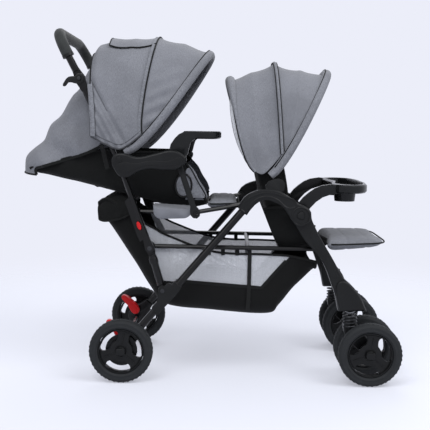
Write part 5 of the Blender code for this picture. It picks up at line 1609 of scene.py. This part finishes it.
def camera():
    """The camera that sees the stroller from where the photograph was taken."""
    yaw, pitch, roll = math.radians(0.64), math.radians(-5.82), math.radians(0.81)
    ahead = Vector((-math.sin(yaw) * math.cos(pitch), math.cos(yaw) * math.cos(pitch), math.sin(pitch)))
    right = Vector((math.cos(yaw), math.sin(yaw), 0.0))
    up = right.cross(ahead)
    x_axis = right * math.cos(roll) + up * math.sin(roll)
    y_axis = up * math.cos(roll) - right * math.sin(roll)
    turn = Matrix((x_axis, y_axis, -ahead)).transposed()
    lens = bpy.data.cameras.new("camera")
    lens.sensor_width = 36.0
    lens.lens = 36.0 * 850.0 / 430.0
    holder = bpy.data.objects.new("camera", lens)
    holder.matrix_world = Matrix.Translation((0.049, -2.643, 0.733)) @ turn.to_4x4()
    bpy.context.scene.collection.objects.link(holder)
    bpy.context.scene.camera = holder


# Add-on

def colour_property(name, description, seen):
    return bpy.props.FloatVectorProperty(name=name, description=description, subtype="COLOR", size=3,
                                         min=0.0, max=1.0, default=tone(*seen))


class StrollerColours(bpy.types.PropertyGroup):
    """Colours of the stroller's materials."""
    grey_cloth: colour_property("Grey cloth", "Dark yarn of the canopies", (104, 106, 113))
    grey_yarn: colour_property("Pale yarn", "Pale yarn of the grey cloth", (154, 157, 165))
    black_cloth: colour_property("Black cloth", "Seat shells and basket", (14, 15, 15))
    plastic: colour_property("Plastic", "Moulded parts", (20, 21, 22))
    tube: colour_property("Tube", "Coating of the frame tubes", (9, 9, 10))
    tyre: colour_property("Tyre", "Foamed rubber of the tyres", (33, 35, 37))
    foam: colour_property("Foam", "Foam of the handle", (36, 39, 39))
    red: colour_property("Red", "Brake pedals and fold buttons", (198, 30, 34))
    mesh: colour_property("Mesh", "Open mesh of the basket", (214, 217, 224))
    floor: colour_property("Floor", "Floor and backdrop", (234, 237, 248))


class StrollerSizes(bpy.types.PropertyGroup):
    """Sizes of the soft goods and wheels."""
    wrinkle: bpy.props.FloatProperty(name="Wrinkle depth", description="Depth of the folds in the cloth",
                                     default=0.0045, min=0.0, max=0.02, unit="LENGTH")
    basket_sag: bpy.props.FloatProperty(name="Basket sag",
                                        description="How far the basket's floor hangs through",
                                        default=0.006, min=0.0, max=0.03, unit="LENGTH")
    tread_bars: bpy.props.IntProperty(name="Tread bars", description="Bars in each row of a tyre's tread",
                                      default=42, min=12, max=72)


def make_finishes(colours):
    plastic, black, grey = tuple(colours.plastic), tuple(colours.black_cloth), tuple(colours.grey_cloth)
    pale = tuple(colours.grey_yarn)
    moulded_plastic("plastic", plastic, 0.42)
    moulded_plastic("rim_plastic", shade(plastic, 0.85), 0.40)
    # Painted sheen: the trays' plastic is painted lighter than the other mouldings, for the gloss on their
    # tops.
    moulded_plastic("gloss_plastic", shade(plastic, 1.4), 0.24, 500.0)
    moulded_plastic("gloss_piping", shade(plastic, 0.7), 0.22, 500.0)
    moulded_plastic("red", tuple(colours.red), 0.34)
    coated_tube("tube", tuple(colours.tube))
    bare_steel("steel", tone(150, 152, 155))
    bare_steel("steel_dark", tone(64, 65, 67), 0.42)
    tyre_rubber("tyre", tuple(colours.tyre))
    foam_grip("foam", tuple(colours.foam))
    woven("grey_cloth", grey, pale)
    woven("grey_cloth_plain", grey, pale, on_map=False)
    woven("black_cloth", black, shade(black, 1.6), sheen=0.03, specular=0.18)
    woven("liner_cloth", shade(black, 1.3), shade(black, 2.2), on_map=False, sheen=0.03, specular=0.2)
    # Painted shade: the canopies' inner faces are the grey cloth painted darker, for the shade inside the
    # canopies.
    woven("painted_shade_lining", shade(grey, 0.34), shade(grey, 0.5), on_map=False, sheen=0.05)
    woven("piping_cloth", shade(black, 1.4), shade(black, 2.4), 0.0006, on_map=False, sheen=0.04,
          specular=0.2)
    woven("seam_thread", shade(grey, 0.5), shade(grey, 0.8), 0.0005, on_map=False)
    webbing("webbing", black)
    # Painted shade: the basket's cloth is the seats' black cloth painted darker still.
    basket_cloth("basket_cloth", shade(black, 0.6), tuple(colours.mesh))
    clear_vinyl("clear_vinyl")


class STROLLER_OT_finishes(bpy.types.Operator):
    """Makes the materials and gives the frame's own parts theirs"""
    bl_idname = "stroller.finishes"
    bl_label = "Finishes"

    def execute(self, context):
        make_finishes(context.scene.stroller_colours)
        carried_over()
        return {"FINISHED"}


class STROLLER_OT_frame(bpy.types.Operator):
    """Softens the tubes and brackets of the frame, builds the front legs and adds screws"""
    bl_idname = "stroller.frame"
    bl_label = "Frame"

    def execute(self, context):
        smooth_parts()
        arches()
        front_legs()
        screws()
        return {"FINISHED"}


class STROLLER_OT_armrests(bpy.types.Operator):
    """Builds the armrests, struts and trays"""
    bl_idname = "stroller.armrests"
    bl_label = "Armrests and trays"

    def execute(self, context):
        armrests()
        trays()
        return {"FINISHED"}


class STROLLER_OT_handle(bpy.types.Operator):
    """Builds the foam grip, levers, brake pedals, red buttons and caster coils"""
    bl_idname = "stroller.handle"
    bl_label = "Handle and pedals"

    def execute(self, context):
        handle()
        pedals()
        fork_coils()
        return {"FINISHED"}


class STROLLER_OT_wheels(bpy.types.Operator):
    """Builds the wheels with their treads and brake rings"""
    bl_idname = "stroller.wheels"
    bl_label = "Wheels"

    def execute(self, context):
        wheels(context.scene.stroller_sizes.tread_bars)
        return {"FINISHED"}


class STROLLER_OT_rear_canopy(bpy.types.Operator):
    """Builds the rear canopy, its flap and the hood behind it"""
    bl_idname = "stroller.rear_canopy"
    bl_label = "Rear canopy"

    def execute(self, context):
        wrinkle = context.scene.stroller_sizes.wrinkle
        peekaboo_flap(rear_canopy(wrinkle))
        tail_hood(wrinkle)
        return {"FINISHED"}


class STROLLER_OT_front_canopy(bpy.types.Operator):
    """Builds the front canopy and its side windows"""
    bl_idname = "stroller.front_canopy"
    bl_label = "Front canopy"

    def execute(self, context):
        front_canopy(context.scene.stroller_sizes.wrinkle)
        return {"FINISHED"}


class STROLLER_OT_seats(bpy.types.Operator):
    """Builds both seats, their pads, harnesses and leg rests"""
    bl_idname = "stroller.seats"
    bl_label = "Seats"

    def execute(self, context):
        wrinkle = context.scene.stroller_sizes.wrinkle
        rear_seat(wrinkle)
        front_seat(wrinkle)
        leg_rests()
        return {"FINISHED"}


class STROLLER_OT_basket(bpy.types.Operator):
    """Builds the storage basket with its mesh, straps and pocket"""
    bl_idname = "stroller.basket"
    bl_label = "Basket"

    def execute(self, context):
        basket(context.scene.stroller_sizes.basket_sag)
        return {"FINISHED"}


class STROLLER_OT_stage(bpy.types.Operator):
    """Sets up the floor, lamps and camera"""
    bl_idname = "stroller.stage"
    bl_label = "Stage"

    def execute(self, context):
        stage(tuple(context.scene.stroller_colours.floor))
        return {"FINISHED"}


STEPS = (STROLLER_OT_finishes, STROLLER_OT_frame, STROLLER_OT_armrests, STROLLER_OT_handle,
         STROLLER_OT_wheels, STROLLER_OT_rear_canopy, STROLLER_OT_front_canopy, STROLLER_OT_seats,
         STROLLER_OT_basket, STROLLER_OT_stage)


class STROLLER_PT_looks(bpy.types.Panel):
    """Steps, colours and sizes of the stroller"""
    bl_label = "Stroller"
    bl_idname = "STROLLER_PT_looks"
    bl_space_type = "VIEW_3D"
    bl_region_type = "UI"
    bl_category = "Stroller"

    def draw(self, context):
        for step in STEPS:
            self.layout.operator(step.bl_idname)
        for group in (context.scene.stroller_colours, context.scene.stroller_sizes):
            for key in group.bl_rna.properties.keys():
                if key not in ("rna_type", "name"):
                    self.layout.prop(group, key)


CLASSES = (StrollerColours, StrollerSizes, *STEPS, STROLLER_PT_looks)


def register():
    for item in CLASSES:
        bpy.utils.register_class(item)
    bpy.types.Scene.stroller_colours = bpy.props.PointerProperty(type=StrollerColours)
    bpy.types.Scene.stroller_sizes = bpy.props.PointerProperty(type=StrollerSizes)


def unregister():
    del bpy.types.Scene.stroller_sizes
    del bpy.types.Scene.stroller_colours
    for item in reversed(CLASSES):
        bpy.utils.unregister_class(item)


def main():
    register()
    for step in STEPS:
        group, name = step.bl_idname.split(".")
        getattr(getattr(bpy.ops, group), name)()


if __name__ == "__main__":
    main()
